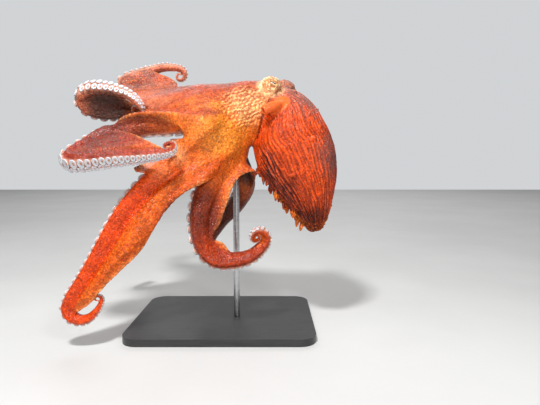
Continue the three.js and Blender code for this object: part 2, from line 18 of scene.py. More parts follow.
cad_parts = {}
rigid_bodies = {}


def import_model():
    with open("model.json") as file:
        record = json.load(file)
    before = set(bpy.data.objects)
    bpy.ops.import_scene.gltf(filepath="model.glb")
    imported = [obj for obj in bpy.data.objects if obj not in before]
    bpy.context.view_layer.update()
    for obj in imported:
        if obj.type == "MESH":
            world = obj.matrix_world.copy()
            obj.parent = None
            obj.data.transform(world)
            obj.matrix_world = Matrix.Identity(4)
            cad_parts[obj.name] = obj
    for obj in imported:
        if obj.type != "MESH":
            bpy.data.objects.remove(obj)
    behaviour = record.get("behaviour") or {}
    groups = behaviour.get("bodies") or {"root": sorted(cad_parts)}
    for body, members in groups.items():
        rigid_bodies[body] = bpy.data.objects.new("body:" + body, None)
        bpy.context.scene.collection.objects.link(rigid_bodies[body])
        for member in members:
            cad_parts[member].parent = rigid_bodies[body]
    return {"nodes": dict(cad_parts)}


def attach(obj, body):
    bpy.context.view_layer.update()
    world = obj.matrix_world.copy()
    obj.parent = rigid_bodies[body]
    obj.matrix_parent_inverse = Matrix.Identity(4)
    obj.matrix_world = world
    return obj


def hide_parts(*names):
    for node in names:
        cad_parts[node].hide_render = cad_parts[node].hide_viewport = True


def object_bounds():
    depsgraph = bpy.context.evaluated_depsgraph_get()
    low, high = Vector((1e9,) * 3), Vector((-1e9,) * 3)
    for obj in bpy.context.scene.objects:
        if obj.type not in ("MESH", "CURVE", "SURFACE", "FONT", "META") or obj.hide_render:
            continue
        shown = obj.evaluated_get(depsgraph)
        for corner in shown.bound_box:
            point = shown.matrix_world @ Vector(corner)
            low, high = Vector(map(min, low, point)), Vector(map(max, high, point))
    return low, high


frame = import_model()
CAD_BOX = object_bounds()

MM = 0.001
VOXEL = 2.1  # of the even mesh that joins the bodies of the skin
SKIN_TRIANGLES = 166000  # before the cheek and the eyes are divided more finely

# ---- The animal's layout, the same as the solids' ----
CROWN = {"centre": (-10, 0, 520), "axis": (-0.864, 0, -0.504), "radius": 86}
ARM_START = {"radius_share": 0.62, "ahead": -48, "lean": 0.35}
ARM_TIP = {"radius": 1.7, "cone": 0.112}
ARM_ROW = 2.6  # from one row of faces to the next along an arm
WEB = {"thickness": 5.2, "root": 30, "sink": 0.88, "ring_radius": 102, "ring_ahead": -26}
WEB_START = 0.06  # share of an arm's length
SPIRAL_STEP = math.pi / 6
ARMS = {
    "l1": dict(angle=25, root=31, taper=0.58, curl=(18, 0.28, 1.1), points=[
        (-120, -45, 570), (0, 0.5, -1),
        (-185, -60, 555), (0, 0.7, -0.8),
        (-245, -75, 547), (-0.2, 0.9, -0.6),
        (-286, -83, 546), (-0.5, 0.8, -0.5),
        (-315, -91, 558), (-0.9, 0.4, -0.1),
        (-319, -100, 578), (-0.8, -0.3, 0.5),
        (-297, -108, 592), (-0.3, -0.75, 0.65),
        (-262, -114, 593), (0, -0.8, 0.6),
        (-226, -117, 586), (0.15, -0.8, 0.55),
        (-200, -116, 575), (0.4, -0.75, 0.5),
        (-184, -114, 559), (0.8, -0.5, 0.3),
    ]),
    "l2": dict(angle=68, root=31, taper=0.56, curl=(19, 0.28, 1.2), points=[
        (-95, -96, 516), (0, 0.5, -1),
        (-160, -100, 510), (0, 0.5, -1),
        (-202, -102, 501), (0, 0.6, -0.9),
        (-236, -106, 489), (-0.2, 0.7, -0.7),
        (-270, -112, 475), (-0.5, 0.8, 0.1),
        (-302, -120, 457), (-0.7, 0.6, 0.3),
        (-326, -134, 440), (-0.9, 0.4, 0.1),
        (-330, -156, 428), (-1, -0.1, -0.2),
        (-308, -177, 423), (-0.4, -0.6, -0.75),
        (-271, -187, 424), (0, -0.7, -0.7),
        (-235, -190, 428), (0, -0.7, -0.7),
        (-190, -190, 432), (0, -0.7, -0.7),
        (-141, -188, 436), (0, -0.7, -0.7),
        (-105, -180, 442), (0.3, -0.6, -0.7),
    ]),
    "l3": dict(angle=112, root=30, taper=0.38, curl=(11, 0.3, 0.9), points=[
        (-100, -112, 421), (-0.75, 0.75, 0.3),
        (-158, -128, 372), (-0.7, 0.75, 0.35),
        (-208, -140, 314), (-0.7, 0.7, 0.4),
        (-243, -150, 257), (-0.7, 0.7, 0.4),
        (-272, -160, 203), (-0.7, 0.7, 0.35),
        (-300, -168, 157), (-0.7, 0.65, 0.3),
        (-326, -173, 120), (-0.85, 0.5, 0.1),
        (-338, -176, 90), (-0.9, 0.4, -0.1),
        (-322, -177, 70), (-0.5, 0.35, -0.85),
        (-295, -176, 69), (0.3, 0.35, -0.9),
        (-273, -174, 87), (0.8, 0.35, -0.5),
        (-262, -172, 108), (0.95, 0.3, 0.1),
    ]),
    "l4": dict(angle=155, root=34, taper=0.38, curl=(29, 0.27, 1.7), points=[
        (-22, -70, 377), (-0.75, 0.7, -0.1),
        (-42, -84, 325), (-0.8, 0.65, 0),
        (-49, -90, 272), (-0.85, 0.55, 0),
        (-40, -92, 222), (-0.7, 0.5, -0.5),
        (-10, -92, 189), (-0.2, 0.4, -0.9),
        (34, -91, 186), (0.1, 0.4, -0.9),
        (74, -88, 196), (0.5, 0.4, -0.75),
        (100, -85, 218), (0.9, 0.4, -0.2),
    ]),
    "r4": dict(angle=205, root=31, taper=0.5, curl=(24, 0.28, 1.5), points=[
        (44, 44, 408), (-0.7, 0.6, -0.3),
        (54, 56, 362), (-0.7, 0.65, 0),
        (30, 76, 312), (-0.75, 0.6, 0.1),
        (-16, 95, 261), (-0.7, 0.5, 0),
        (-47, 118, 217), (-0.6, 0.3, -0.5),
        (-74, 148, 192), (-0.5, 0.3, -0.9),
        (-86, 182, 196), (-0.3, 0.6, -0.7),
    ]),
    "r3": dict(angle=248, root=32, taper=0.5, curl=(26, 0.28, 1.5), points=[
        (-34, 100, 458), (-0.6, -0.7, 0),
        (-110, 125, 401), (-0.7, -0.6, 0.3),
        (-188, 145, 328), (-0.7, -0.5, 0.5),
        (-262, 160, 250), (-0.7, -0.5, 0.5),
        (-310, 180, 192), (-0.8, -0.4, 0.2),
        (-330, 210, 160), (-0.6, 0, -0.8),
        (-322, 240, 164), (-0.2, 0.8, -0.6),
    ]),
    "r2": dict(angle=292, root=31, taper=0.55, curl=(19, 0.28, 1.3), points=[
        (-95, 122, 545), (-0.2, -0.6, -0.8),
        (-160, 150, 550), (0, -0.5, -0.85),
        (-225, 178, 552), (-0.2, -0.4, -0.9),
        (-277, 210, 560), (-0.7, -0.2, -0.6),
        (-294, 244, 582), (-0.9, 0.3, 0),
        (-264, 268, 602), (-0.3, 0.7, 0.6),
        (-214, 270, 606), (0.1, 0.7, 0.7),
        (-174, 260, 596), (0.6, 0.6, 0.5),
    ]),
    "r1": dict(angle=335, root=28, taper=0.62, curl=(20, 0.3, 1.2), points=[
        (-132, 56, 600), (0, -0.2, -1),
        (-185, 66, 607), (0, -0.1, -1),
        (-225, 76, 609), (0, 0, -1),
        (-256, 83, 611), (-0.4, 0, -0.9),
        (-278, 87, 622), (-0.9, 0, -0.4),
        (-281, 89, 641), (-1, 0, 0.2),
        (-265, 91, 653), (-0.5, 0, 0.9),
        (-240, 92, 662), (-0.4, 0, 0.9),
        (-207, 91, 672), (-0.3, 0, 1),
        (-172, 90, 681), (0, 0, 1),
        (-130, 88, 679), (0, 0, 1),
    ]),
}
HEAD = {
    "spine": [(160, -4, 552), (122, -2, 560), (82, 0, 556), (42, 0, 545), (2, 0, 527), (-36, 0, 507)],
    "widths": [50, 70, 76, 84, 110, 92],
    "flatness": 1.0,
}
MANTLE = {
    "spine": [
        (92, -3, 566), (148, -8, 528), (180, -20, 455), (205, -28, 385), (222, -32, 325), (238, -35, 250),
    ],
    "widths": [84, 97, 101, 88, 66, 34],
    "flatness": 0.92,
}
SIPHON = {
    "spine": [(150, -70, 566), (136, -82, 558), (118, -90, 551), (102, -99, 543)],
    "widths": [7, 13, 14, 12],
}
BAG_RIDGES = 58  # round the mantle
FLAPS = {
    "count": 24, "from": 0.34, "to": 0.94,  # shares of the mantle's spine
    "turn": 286, "spread": 19,  # degrees round the mantle
    "half_size": (13.5, 10.5, 3.6), "scale": (0.6, 1.35), "lift": (0.25, 0.65), "hang": 6,
}
EYES = {
    "left": dict(mound=(122, -38, 607), at=(126, -53, 611), slit=(-0.93, 0, 0.35)),
    "right": dict(mound=(160, 36, 612), at=(168, 50, 616), slit=(-0.9, 0, 0.4)),
}
LID = {
    "half_long": 8.5, "half_open": 2.4, "depth": 8, "wall": 1.6,  # the slit
    "bulge": 2.2, "bulge_at": 2.6, "bulge_wide": 2.2,  # the lids round it
}
EYE_FINER = 24  # how far round each eye the skin is divided more finely
EYE_RADIUS = 11
MOUND_RADIUS = 27
RELIEF = {  # how high the skin's features stand, or how deep they lie
    "ridges": 2.4, "ragged": 4.5, "papillae": 5, "pebbles": 1.3, "welts": 1.7, "far_knobs": 2.0,
    "streaks": 0.8, "collar": 4.5, "folds": 3.0, "lips": 3.5, "pucker": 1.8, "mouth": 9,
}


# ---- Colours of the skin, as linear values; some of them are painted shade ----
SKIN = {
    "orange": (0.84, 0.17, 0.016),
    # back: painted shade, laid where the skin faces up towards the light from above
    "rose": (0.60, 0.10, 0.032),
    "back": (0.42, 0.055, 0.018),
    "gold": (0.95, 0.31, 0.035),
    "cream": (0.94, 0.52, 0.22),
    "mound": (0.96, 0.68, 0.36),
    "grey": (0.40, 0.20, 0.14),
    "bag": (0.86, 0.086, 0.006),
    "bag_top": (0.50, 0.135, 0.07),
    # painted shade on the mantle's right-hand flank and on its lower parts
    "bag_side": (0.30, 0.034, 0.014),
    "bag_dark": (0.20, 0.026, 0.009),
    "flap": (0.90, 0.22, 0.016),
    # collar: painted shade in the groove at the mantle's opening
    "collar": (0.20, 0.016, 0.006),
    "siphon": (0.84, 0.15, 0.03),
    "lip": (0.95, 0.36, 0.11),
    # inner: painted shade for the webs' inner faces, which lie within the ring of webs
    "inner": (0.27, 0.055, 0.018),
    "oral": (0.60, 0.30, 0.21),
    "mouth": (0.62, 0.27, 0.17),
    "beak": (0.02, 0.012, 0.01),
}
# Places of the skin with a tint of their own, most of them painted shade: where, how far they reach, the
# tint and its share.
PAINTED_SHADE_AND_TINTS = [
    # Painted shade inside the loop of the upper near arm.
    ((-262, -92, 556), 86, (0.05, 0.02, 0.014), 0.94),
    # Painted shade on the first part of the second near arm, seen through the opening in its web.
    ((-160, -98, 507), 80, (0.25, 0.045, 0.014), 0.7),
    # Painted shade on the base of the lower far arm, between the web and the mantle.
    ((70, 30, 410), 72, (0.055, 0.02, 0.012), 0.95),
    # Painted shade on the far lower arm and the web beside it.
    ((-10, 90, 300), 120, (0.09, 0.03, 0.018), 0.7),
    # Painted shade on the upper part of the lowest near arm, under the web.
    ((-55, -100, 300), 95, (0.17, 0.020, 0.005), 0.9),
    # A lighter tint at the tip of the lowest near arm.
    ((100, -60, 240), 60, (0.66, 0.085, 0.012), 0.8),
    # Orange-cream tints of the web near the end of the second near arm's sucker row.
    ((-92, -124, 440), 36, (0.88, 0.30, 0.10), 0.85),
    ((-135, -128, 408), 40, (0.85, 0.20, 0.05), 0.8),
]
# The broad areas of the crown and head, and of the mantle, some of them painted shade: the colour, where,
# how far it reaches, its share.
CROWN_AREAS = [
    ("rose", (-120, 20, 640), 130, 0.7),
    ("gold", (18, -106, 508), 105, 0.9),
    ("cream", (66, -84, 572), 78, 0.8),
]
MANTLE_AREAS = [
    ("bag_top", (190, 0, 600), 95, 0.7),
    # Painted shade down the mantle's right-hand flank.
    ("bag_side", (285, -20, 430), 120, 0.85),
    # Painted shade on the mantle's lower end and lower front.
    ("bag_dark", (225, -60, 270), 75, 0.75),
    ("bag_dark", (130, -60, 350), 105, 0.6),
]
# Where the mantle's near lower front is ragged: where, how far it reaches and its share.
RAGGED = [
    ((104, -80, 405), 62, 1.0),
    ((140, -75, 335), 72, 1.0),
    ((188, -62, 278), 66, 1.0),
    ((232, -55, 272), 84, 0.8),
]
# Places where the skin's fine net turns grey: where and how far they reach.
DUSKY = [
    ((-110, 10, 625), 120),
    ((-10, 0, 635), 90),
    ((200, 0, 560), 120),
    ((240, -40, 440), 90),
    ((-250, -150, 460), 110),
    ((-240, 90, 640), 110),
]
ARM_TINT = {
    "l1": (0.66, 0.17, 0.08),
    "l2": (0.38, 0.042, 0.016),
    "l3": (0.72, 0.062, 0.003),
    "l4": (0.40, 0.038, 0.004),
    "r4": (0.24, 0.04, 0.014),
    "r3": (0.33, 0.05, 0.017),
    "r2": (0.50, 0.10, 0.04),
    "r1": (0.72, 0.20, 0.10),
}
WEB_TINT = {
    "web_l3_l4": ((0.66, 0.09, 0.005), 0.9),
    "web_l2_l3": ((0.84, 0.20, 0.035), 0.5),
    "web_l4_r4": ((0.60, 0.10, 0.015), 0.8),
    "fold_l3": ((0.74, 0.34, 0.17), 0.95),
    "fin_l2": ((0.34, 0.038, 0.014), 0.9),
    # Painted shade on the sheet inside the loop of the upper near arm.
    "fin_l1": ((0.10, 0.045, 0.03), 0.8),
    "fin_r1": ((0.66, 0.13, 0.05), 0.9),
}


# ---- Small sums ----
def unit(v):
    v = np.asarray(v, float)
    return v / np.maximum(np.linalg.norm(v, axis=-1, keepdims=True), 1e-9)


def ramp(x, low, high):
    """0 at low, 1 at high, and smooth between them."""
    k = np.clip((np.asarray(x, float) - low) / (high - low), 0, 1)
    return k * k * (3 - 2 * k)


def hump(x, middle, width):
    return np.exp(-(((x - middle) / width) ** 2))


def corner_value(x, y, z, seed):
    """A repeatable random number from 0 to 1 for each corner of a unit lattice."""
    n = (x * 73856093) ^ (y * 19349663) ^ (z * 83492791) ^ (seed * 40503 + 1013)
    n = ((n ^ (n >> 13)) * 1274126177) & 0x7FFFFFFF
    return ((n ^ (n >> 15)) & 0xFFFF) / 65535.0


def cloud(points, size, seed=0):
    """Smooth random values from 0 to 1 over points, with lumps about as far apart as size."""
    p = np.asarray(points, float) / size
    cell = np.floor(p).astype(np.int64)
    f = p - cell
    f = f * f * (3 - 2 * f)
    total = np.zeros(len(p))
    for dx in (0, 1):
        for dy in (0, 1):
            for dz in (0, 1):
                share = np.abs(1 - dx - f[:, 0]) * np.abs(1 - dy - f[:, 1]) * np.abs(1 - dz - f[:, 2])
                total += share * corner_value(cell[:, 0] + dx, cell[:, 1] + dy, cell[:, 2] + dz, seed)
    return total


def creases(points, size, seed=0):
    """From 0 to 1, with a net of sharp crests about as far apart as size."""
    first = 1 - np.abs(2 * cloud(points, size, seed) - 1) * 2.2
    second = 1 - np.abs(2 * cloud(points, size * 0.53, seed + 7) - 1) * 2.2
    return np.clip(0.65 * np.maximum(first, 0) + 0.45 * np.maximum(second, 0), 0, 1)


class Spline:
    """A smooth curve through points, read at shares of its point count or of its length."""

    def __init__(self, points, even=False):
        p = np.asarray(points, float)
        p = np.vstack([2 * p[0] - p[1], p, 2 * p[-1] - p[-2]])
        step = np.sqrt(np.maximum(np.linalg.norm(np.diff(p, axis=0), axis=1), 1e-6))
        if even:
            step = np.ones(len(step))
        a, b, c, d = p[:-3], p[1:-2], p[2:-1], p[3:]
        before, here, after = step[:-2, None], step[1:-1, None], step[2:, None]
        self.start, self.stop = b, c
        self.leave = ((b - a) / before - (c - a) / (before + here) + (c - b) / here) * here
        self.arrive = ((c - b) / here - (d - b) / (here + after) + (d - c) / after) * here
        fine = np.linspace(0, 1, 400)
        gone = np.concatenate([[0], np.cumsum(np.linalg.norm(np.diff(self.at(fine), axis=0), axis=1))])
        self.length = gone[-1]
        self.by_length = (gone / gone[-1], fine)

    def at(self, t):
        t = np.clip(np.atleast_1d(np.asarray(t, float)), 0, 1) * len(self.start)
        i = np.minimum(t.astype(int), len(self.start) - 1)
        k = (t - i)[:, None]
        b, c, out, into = self.start[i], self.stop[i], self.leave[i], self.arrive[i]
        return b + out * k + (3 * (c - b) - 2 * out - into) * k**2 + (2 * (b - c) + out + into) * k**3

    def at_length(self, share):
        return self.at(np.interp(np.clip(share, 0, 1), *self.by_length))

    def heading(self, t):
        t = np.asarray(t, float)
        return unit(self.at(np.minimum(t + 1e-4, 1)) - self.at(np.maximum(t - 1e-4, 0)))


# ---- The crown's directions and the arms' lines ----
FORWARD = unit(CROWN["axis"])
LEFT = np.array([0.0, -1.0, 0.0])
DORSAL = unit(np.cross(FORWARD, LEFT))
CROWN_CENTRE = np.array(CROWN["centre"], float)


def outward(angle):
    a = math.radians(angle)
    return DORSAL * math.cos(a) + LEFT * math.sin(a)


def crown_point(angle, radius, ahead):
    return CROWN_CENTRE + outward(angle) * radius + FORWARD * ahead


class Arm:
    """An arm's centre line, with its directions and its radius at each share of its length."""

    def __init__(self, angle, root, taper, points, curl):
        self.root, self.taper = root, taper
        lean = -outward(angle) + FORWARD * ARM_START["lean"]
        knots = [
            crown_point(angle, CROWN["radius"] * ARM_START["radius_share"], ARM_START["ahead"]),
            crown_point(angle, CROWN["radius"], 0),
        ]
        facings = [lean, lean]
        knots += [np.array(p, float) for p in points[0::2]]
        facings += [unit(f) for f in points[1::2]]
        self.add_spiral(knots, facings, *curl)
        curve = Spline(knots)
        spans = len(knots) - 1
        t = np.linspace(0, 1, spans * 24 + 1)
        span = np.minimum((t * spans).astype(int), spans - 1)
        k = ramp(t * spans - span, 0, 1)[:, None]
        facings = np.array(facings)
        facing = facings[span] * (1 - k) + facings[span + 1] * k
        self.at, self.along = curve.at(t), curve.heading(t)
        self.up = -unit(facing - self.along * np.sum(facing * self.along, axis=1)[:, None])
        self.side = np.cross(self.along, self.up)
        steps = np.linalg.norm(np.diff(self.at, axis=0), axis=1)
        self.run = np.concatenate([[0], np.cumsum(steps)])
        self.length = self.run[-1]

    @staticmethod
    def add_spiral(knots, facings, radius, shrink, turns):
        """A spiral that goes on from the last two knots and bends away from the suckers."""
        tangent = unit(knots[-1] - knots[-2])
        inward = -facings[-1]
        inward = unit(inward - tangent * np.dot(inward, tangent))
        at, r, turned = knots[-1].copy(), radius, 0.0
        while turned < turns * 2 * math.pi:
            heading, turned = turned + SPIRAL_STEP / 2, turned + SPIRAL_STEP
            at = at + (tangent * math.cos(heading) + inward * math.sin(heading)) * r * SPIRAL_STEP
            knots.append(at)
            facings.append(tangent * math.sin(turned) - inward * math.cos(turned))
            r *= shrink ** (SPIRAL_STEP / (2 * math.pi))

    def radius(self, share):
        share = np.clip(np.asarray(share, float), 0, 1 - 1e-6)
        slow = self.root * (1 - share) ** self.taper
        cone = ARM_TIP["cone"] * (1 - share) * self.length
        return ARM_TIP["radius"] + (slow**-4.0 + cone**-4.0) ** -0.25

    def read(self, share):
        """The centre, heading, back and side directions at shares of the length."""
        run = np.clip(np.atleast_1d(np.asarray(share, float)), 0, 1) * self.length
        pick = lambda rows: np.stack([np.interp(run, self.run, rows[:, i]) for i in range(3)], axis=1)
        return pick(self.at), unit(pick(self.along)), unit(pick(self.up)), unit(pick(self.side))


ARM = {name: Arm(**spec) for name, spec in ARMS.items()}


def arm_section(angle, share):
    """Across and up, in radii: a rounded back, a keel down each side and two raised sucker rows."""
    near = lambda offset: np.exp(-((offset / 0.3) ** 2))
    keel = 0.25 * ramp(share, 0.3, 0.45) * (1 - ramp(share, 0.8, 0.95)) * near(np.abs(angle) - 1.35)
    across = np.sin(angle) * (1 + keel)
    high = np.cos(angle) * np.where(np.cos(angle) > 0, 0.9, 0.78) - 0.1 * near(math.pi - np.abs(angle) - 0.5)
    return across, high


# ---- Making meshes ----
def sheet_of(columns, rows):
    """A flat grid from 0 to 1 each way."""
    bm = bmesh.new()
    bmesh.ops.create_grid(bm, x_segments=columns, y_segments=rows, size=0.5)
    bmesh.ops.translate(bm, verts=bm.verts, vec=(0.5, 0.5, 0))
    return bm


def slab_of(columns, rows):
    """A closed block from 0 to 1 each way, one face thick."""
    bm = sheet_of(columns, rows)
    made = bmesh.ops.extrude_face_region(bm, geom=bm.faces[:], use_keep_orig=True)
    top = [e for e in made["geom"] if isinstance(e, bmesh.types.BMVert)]
    bmesh.ops.translate(bm, verts=top, vec=(0, 0, 1))
    return bm


def put(bm, place):
    """Moves each vertex to where place puts it, in millimetres."""
    flat = np.array([v.co[:] for v in bm.verts])
    for v, p in zip(bm.verts, place(*flat.T) * MM):
        v.co = p


def rolled(place, columns, rows):
    """A flat sheet rolled up by place, joined along its seam and filled at its ends."""
    bm = sheet_of(columns, rows)
    put(bm, place)
    bmesh.ops.remove_doubles(bm, verts=bm.verts, dist=1e-6)
    bmesh.ops.holes_fill(bm, edges=[e for e in bm.edges if e.is_boundary])
    bmesh.ops.recalc_face_normals(bm, faces=bm.faces)
    return bm


def mesh_of(name, bm):
    mesh = bpy.data.meshes.new(name)
    bm.to_mesh(mesh)
    bm.free()
    return mesh


def width_curve(widths, even=True):
    return Spline([(i, w, 0) for i, w in enumerate(widths)], even)


def axes_round(along):
    """The level direction across a heading, and the one that rises from both."""
    side = unit(np.cross(along, (0, 0, 1)))
    return side, np.cross(side, along)


def arm_body(arm):
    def place(x, y, _):
        at, _, up, side = arm.read(y)
        across, high = arm_section((x * 2 - 1) * math.pi, y)
        radius = arm.radius(y)[:, None]
        return at + side * radius * across[:, None] + up * radius * high[:, None]

    return rolled(place, columns=28, rows=int(arm.length / ARM_ROW))


def trunk_body(spine, widths, flatness):
    line, size = Spline(spine), width_curve(widths)

    def place(x, y, _):
        polar, turn = y * math.pi, x * 2 * math.pi
        t = (1 - np.cos(polar)) / 2
        side, up = axes_round(line.heading(t))
        width = np.sqrt(np.maximum(np.sin(polar), 0)) * size.at(t)[:, 1]
        across, high = np.cos(turn) * width * flatness, np.sin(turn) * width
        return line.at(t) + side * across[:, None] + up * high[:, None]

    return rolled(place, columns=64, rows=64)


def siphon_body(spine, widths):
    """A tube whose wall turns in at the mouth and runs back to a blind end."""
    line, size = Spline(spine), width_curve(widths, even=False)

    def place(x, y, _):
        lip = ramp(y, 0.62, 0.72)
        t = np.clip(np.where(y < 0.67, y / 0.62, 1 - (y - 0.72) / 0.28 * 0.6), 0, 1)
        beyond = 2.5 * hump(y, 0.67, 0.04)
        along = line.heading(t)
        side, up = axes_round(along)
        width = (size.at(t)[:, 1] * (1 - 0.36 * lip))[:, None]
        turn = (x * 2 * math.pi)[:, None]
        return line.at(t) + along * beyond[:, None] + (side * np.cos(turn) + up * np.sin(turn)) * width

    return rolled(place, columns=28, rows=60)


def ball(at, radius, segments=32, rings=20):
    bm = bmesh.new()
    bmesh.ops.create_uvsphere(bm, u_segments=segments, v_segments=rings, radius=radius * MM)
    bmesh.ops.translate(bm, verts=bm.verts, vec=Vector(at) * MM)
    return bm


# ---- Webs ----
def rim(name, turn):
    return outward(ARMS[name]["angle"] + turn)


def crown_rim(angle):
    return crown_point(angle, WEB["ring_radius"], WEB["ring_ahead"])


WEBS = {
    "web_l1_l2": dict(
        start=("l1", WEB_START, 0.5, rim("l1", 40), (0, -0.3, -1)),
        stop=("l2", WEB_START, 0.36, rim("l2", -40), (0, 0, 1)),
        inner=[crown_rim(46)], edge=[(-235, -85, 530), (-215, -95, 525)],
    ),
    "web_l2_l3": dict(
        start=("l2", WEB_START, 0.4, rim("l2", 40), (0, -0.8, 0.6)),
        stop=("l3", WEB_START, 0.3, rim("l3", -40), (-0.7, -0.6, 0.3)),
        inner=[crown_rim(90)], swell=(0, -14, 0),
        edge=[
            (-217, -132, 525), (-175, -135, 530), (-134, -135, 526), (-103, -133, 514),
            (-80, -130, 487), (-76, -130, 458), (-88, -134, 428), (-114, -138, 410), (-152, -141, 397),
        ],
    ),
    "web_l3_l4": dict(
        start=("l3", WEB_START, 0.83, rim("l3", 40), (0.75, -0.35, 0.55)),
        stop=("l4", WEB_START, 0.24, rim("l4", -40), (0.3, -1, 0)),
        inner=[crown_rim(133)], swell=(0, -12, 0),
        edge=[
            (-279, -186, 112), (-262, -184, 134), (-221, -171, 177), (-175, -158, 222),
            (-120, -148, 313), (-66, -138, 361), (-34, -130, 376),
        ],
    ),
    "web_l4_r4": dict(
        start=("l4", WEB_START, 0.66, rim("l4", 40), (0, -0.5, 1)),
        stop=("r4", WEB_START, 0.3, rim("r4", -40), (0.7, -0.7, 0)),
        inner=[crown_rim(180)],
        edge=[
            (19, -98, 213), (6, -99, 229), (-18, -100, 242), (1, -96, 282),
            (13, -90, 316), (28, -84, 361), (52, -66, 391), (86, -56, 402),
        ],
    ),
    "web_r4_r3": dict(
        start=("r4", WEB_START, 0.36, rim("r4", 40), (0.2, 1, 0)),
        stop=("r3", WEB_START, 0.34, rim("r3", -40), (0.5, 0.6, -0.5)),
        inner=[crown_rim(227)], edge=[(-5, 112, 375), (-60, 128, 392)],
    ),
    "web_r3_r2": dict(
        start=("r3", WEB_START, 0.4, rim("r3", 40), (0, 1, 0.3)),
        stop=("r2", WEB_START, 0.42, rim("r2", -40), (0, 0.7, -0.5)),
        inner=[crown_rim(270)], edge=[(-110, 150, 420), (-100, 155, 480)],
    ),
    "web_r2_r1": dict(
        start=("r2", WEB_START, 0.45, rim("r2", 40), (0, 0, 1)),
        stop=("r1", WEB_START, 0.42, rim("r1", -40), (0, 1, 0.3)),
        inner=[crown_rim(313)], edge=[(-185, 150, 580), (-180, 110, 600)],
    ),
    "web_r1_l1": dict(
        start=("r1", WEB_START, 0.44, rim("r1", 40), (0, -1, 0.3)),
        stop=("l1", WEB_START, 0.42, rim("l1", -40), (0, 0, 1)),
        inner=[crown_rim(0)], edge=[(-240, 20, 600), (-228, -30, 585)],
    ),
}
FINS = {
    "fold_l3": dict(
        start=[(-80, -128, 482), (-92, -112, 482), (-100, -98, 474)],
        stop=[(-178, -138, 400), (-190, -132, 404), (-194, -126, 410)],
        inner=[(-79, -127, 457), (-90, -131, 431), (-114, -135, 413), (-150, -138, 402)],
        edge=[(-115, -96, 482), (-126, -98, 464), (-148, -104, 442), (-174, -116, 420)],
    ),
    "fin_r1": dict(
        start=("r1", 0.5, 0.24, (0, -1, 0), (0, -1, 0.2)),
        stop=("r1", 0.57, 0.69, (0, -1, 0), (0, -1, -0.3)),
        inner=[],
        edge=[(-126, 60, 630), (-144, 69, 646), (-164, 71, 655), (-184, 75, 663), (-200, 78, 669)],
    ),
    "fin_l1": dict(
        start=("l1", 0.52, 0.3, (0, -1, 0), (0, -1, 0)),
        stop=("l1", 0.58, 0.8, (0.3, -0.5, -1), (0, 0, -1)),
        inner=[], edge=[(-190, -95, 550)],
    ),
    "fin_l2": dict(
        start=("l2", 0.55, 0.4, (0, -1, 0.3), (0, -1, 0.3)),
        stop=("l2", 0.59, 0.89, (0, -0.5, 1), (0, -0.5, 1)),
        inner=[], edge=[(-206, -155, 488), (-175, -170, 481), (-150, -182, 469)],
    ),
}


def flank_line(name, start, end, first, last):
    """The line along an arm's flank between two shares of its length."""
    arm = ARM[name]

    def line(k):
        k = np.atleast_1d(np.asarray(k, float))
        share = start + (end - start) * k
        at, along, _, _ = arm.read(share)
        turn = unit(np.outer(1 - k, first) + np.outer(k, last))
        out = unit(turn - along * np.sum(turn * along, axis=1)[:, None])
        return at + out * arm.radius(share)[:, None] * WEB["sink"]

    return line


class Web:
    """A sheet that blends its four border lines: two sides, an inner line and a free edge."""

    def __init__(self, start, stop, inner, edge, swell=(0, 0, 0)):
        self.side_a, self.side_b = self.side_line(start), self.side_line(stop)
        self.inner = Spline([self.side_a(0)[0], *inner, self.side_b(0)[0]])
        self.edge = Spline([self.side_a(1)[0], *edge, self.side_b(1)[0]])
        self.swell = np.array(swell, float)

    @staticmethod
    def side_line(side):
        if isinstance(side[0], str):
            return flank_line(*side)
        return Spline(side).at

    def at(self, a, b):
        a, b = np.asarray(a, float)[:, None], np.asarray(b, float)[:, None]
        p = self.side_a(b[:, 0]) * (1 - a) + self.side_b(b[:, 0]) * a
        p = p + self.inner.at_length(a[:, 0]) * (1 - b) + self.edge.at_length(a[:, 0]) * b
        p = p - self.side_a(0) * (1 - a) * (1 - b) - self.side_b(0) * a * (1 - b)
        p = p - self.side_a(1) * (1 - a) * b - self.side_b(1) * a * b
        return p + self.swell * 16 * a * (1 - a) * b * (1 - b)

    def normal(self, a, b):
        across = self.at(np.minimum(a + 0.02, 1), b) - self.at(np.maximum(a - 0.02, 0), b)
        outwards = self.at(a, np.minimum(b + 0.02, 1)) - self.at(a, np.maximum(b - 0.02, 0))
        return unit(np.cross(across, outwards))

    def samples(self, columns=40, rows=30):
        a, b = np.meshgrid(np.linspace(0, 1, columns), np.linspace(0, 1, rows))
        return a.ravel(), b.ravel()


WEB_SHEET = {name: Web(**spec) for name, spec in {**WEBS, **FINS}.items()}


def web_body(name):
    web, thin = WEB_SHEET[name], WEB["thickness"]
    root = WEB["root"] if name in WEBS else thin

    def place(x, y, z):
        inside = root + (thin - root) * ramp(y, 0, 0.7)
        offset = np.where(z < 0.5, -thin / 2, inside - thin / 2)
        return web.at(x, y) + web.normal(x, y) * offset[:, None]

    bm = slab_of(columns=60, rows=48)
    put(bm, place)
    bmesh.ops.recalc_face_normals(bm, faces=bm.faces)
    return bm


# ---- The skin ----
def joined(name, bodies):
    whole = bmesh.new()
    for bm in bodies:
        mesh = mesh_of("piece", bm)
        whole.from_mesh(mesh)
        bpy.data.meshes.remove(mesh)
    return shown(name, mesh_of(name, whole))


def shown(name, mesh):
    piece = bpy.data.objects.new(name, mesh)
    bpy.context.scene.collection.objects.link(piece)
    return piece


def settle(piece):
    """Makes the modifiers' result the piece's own mesh."""
    done = bpy.data.meshes.new_from_object(piece.evaluated_get(bpy.context.evaluated_depsgraph_get()))
    old = piece.data
    piece.modifiers.clear()
    piece.data = done
    done.name = old.name
    bpy.data.meshes.remove(old)
    return done


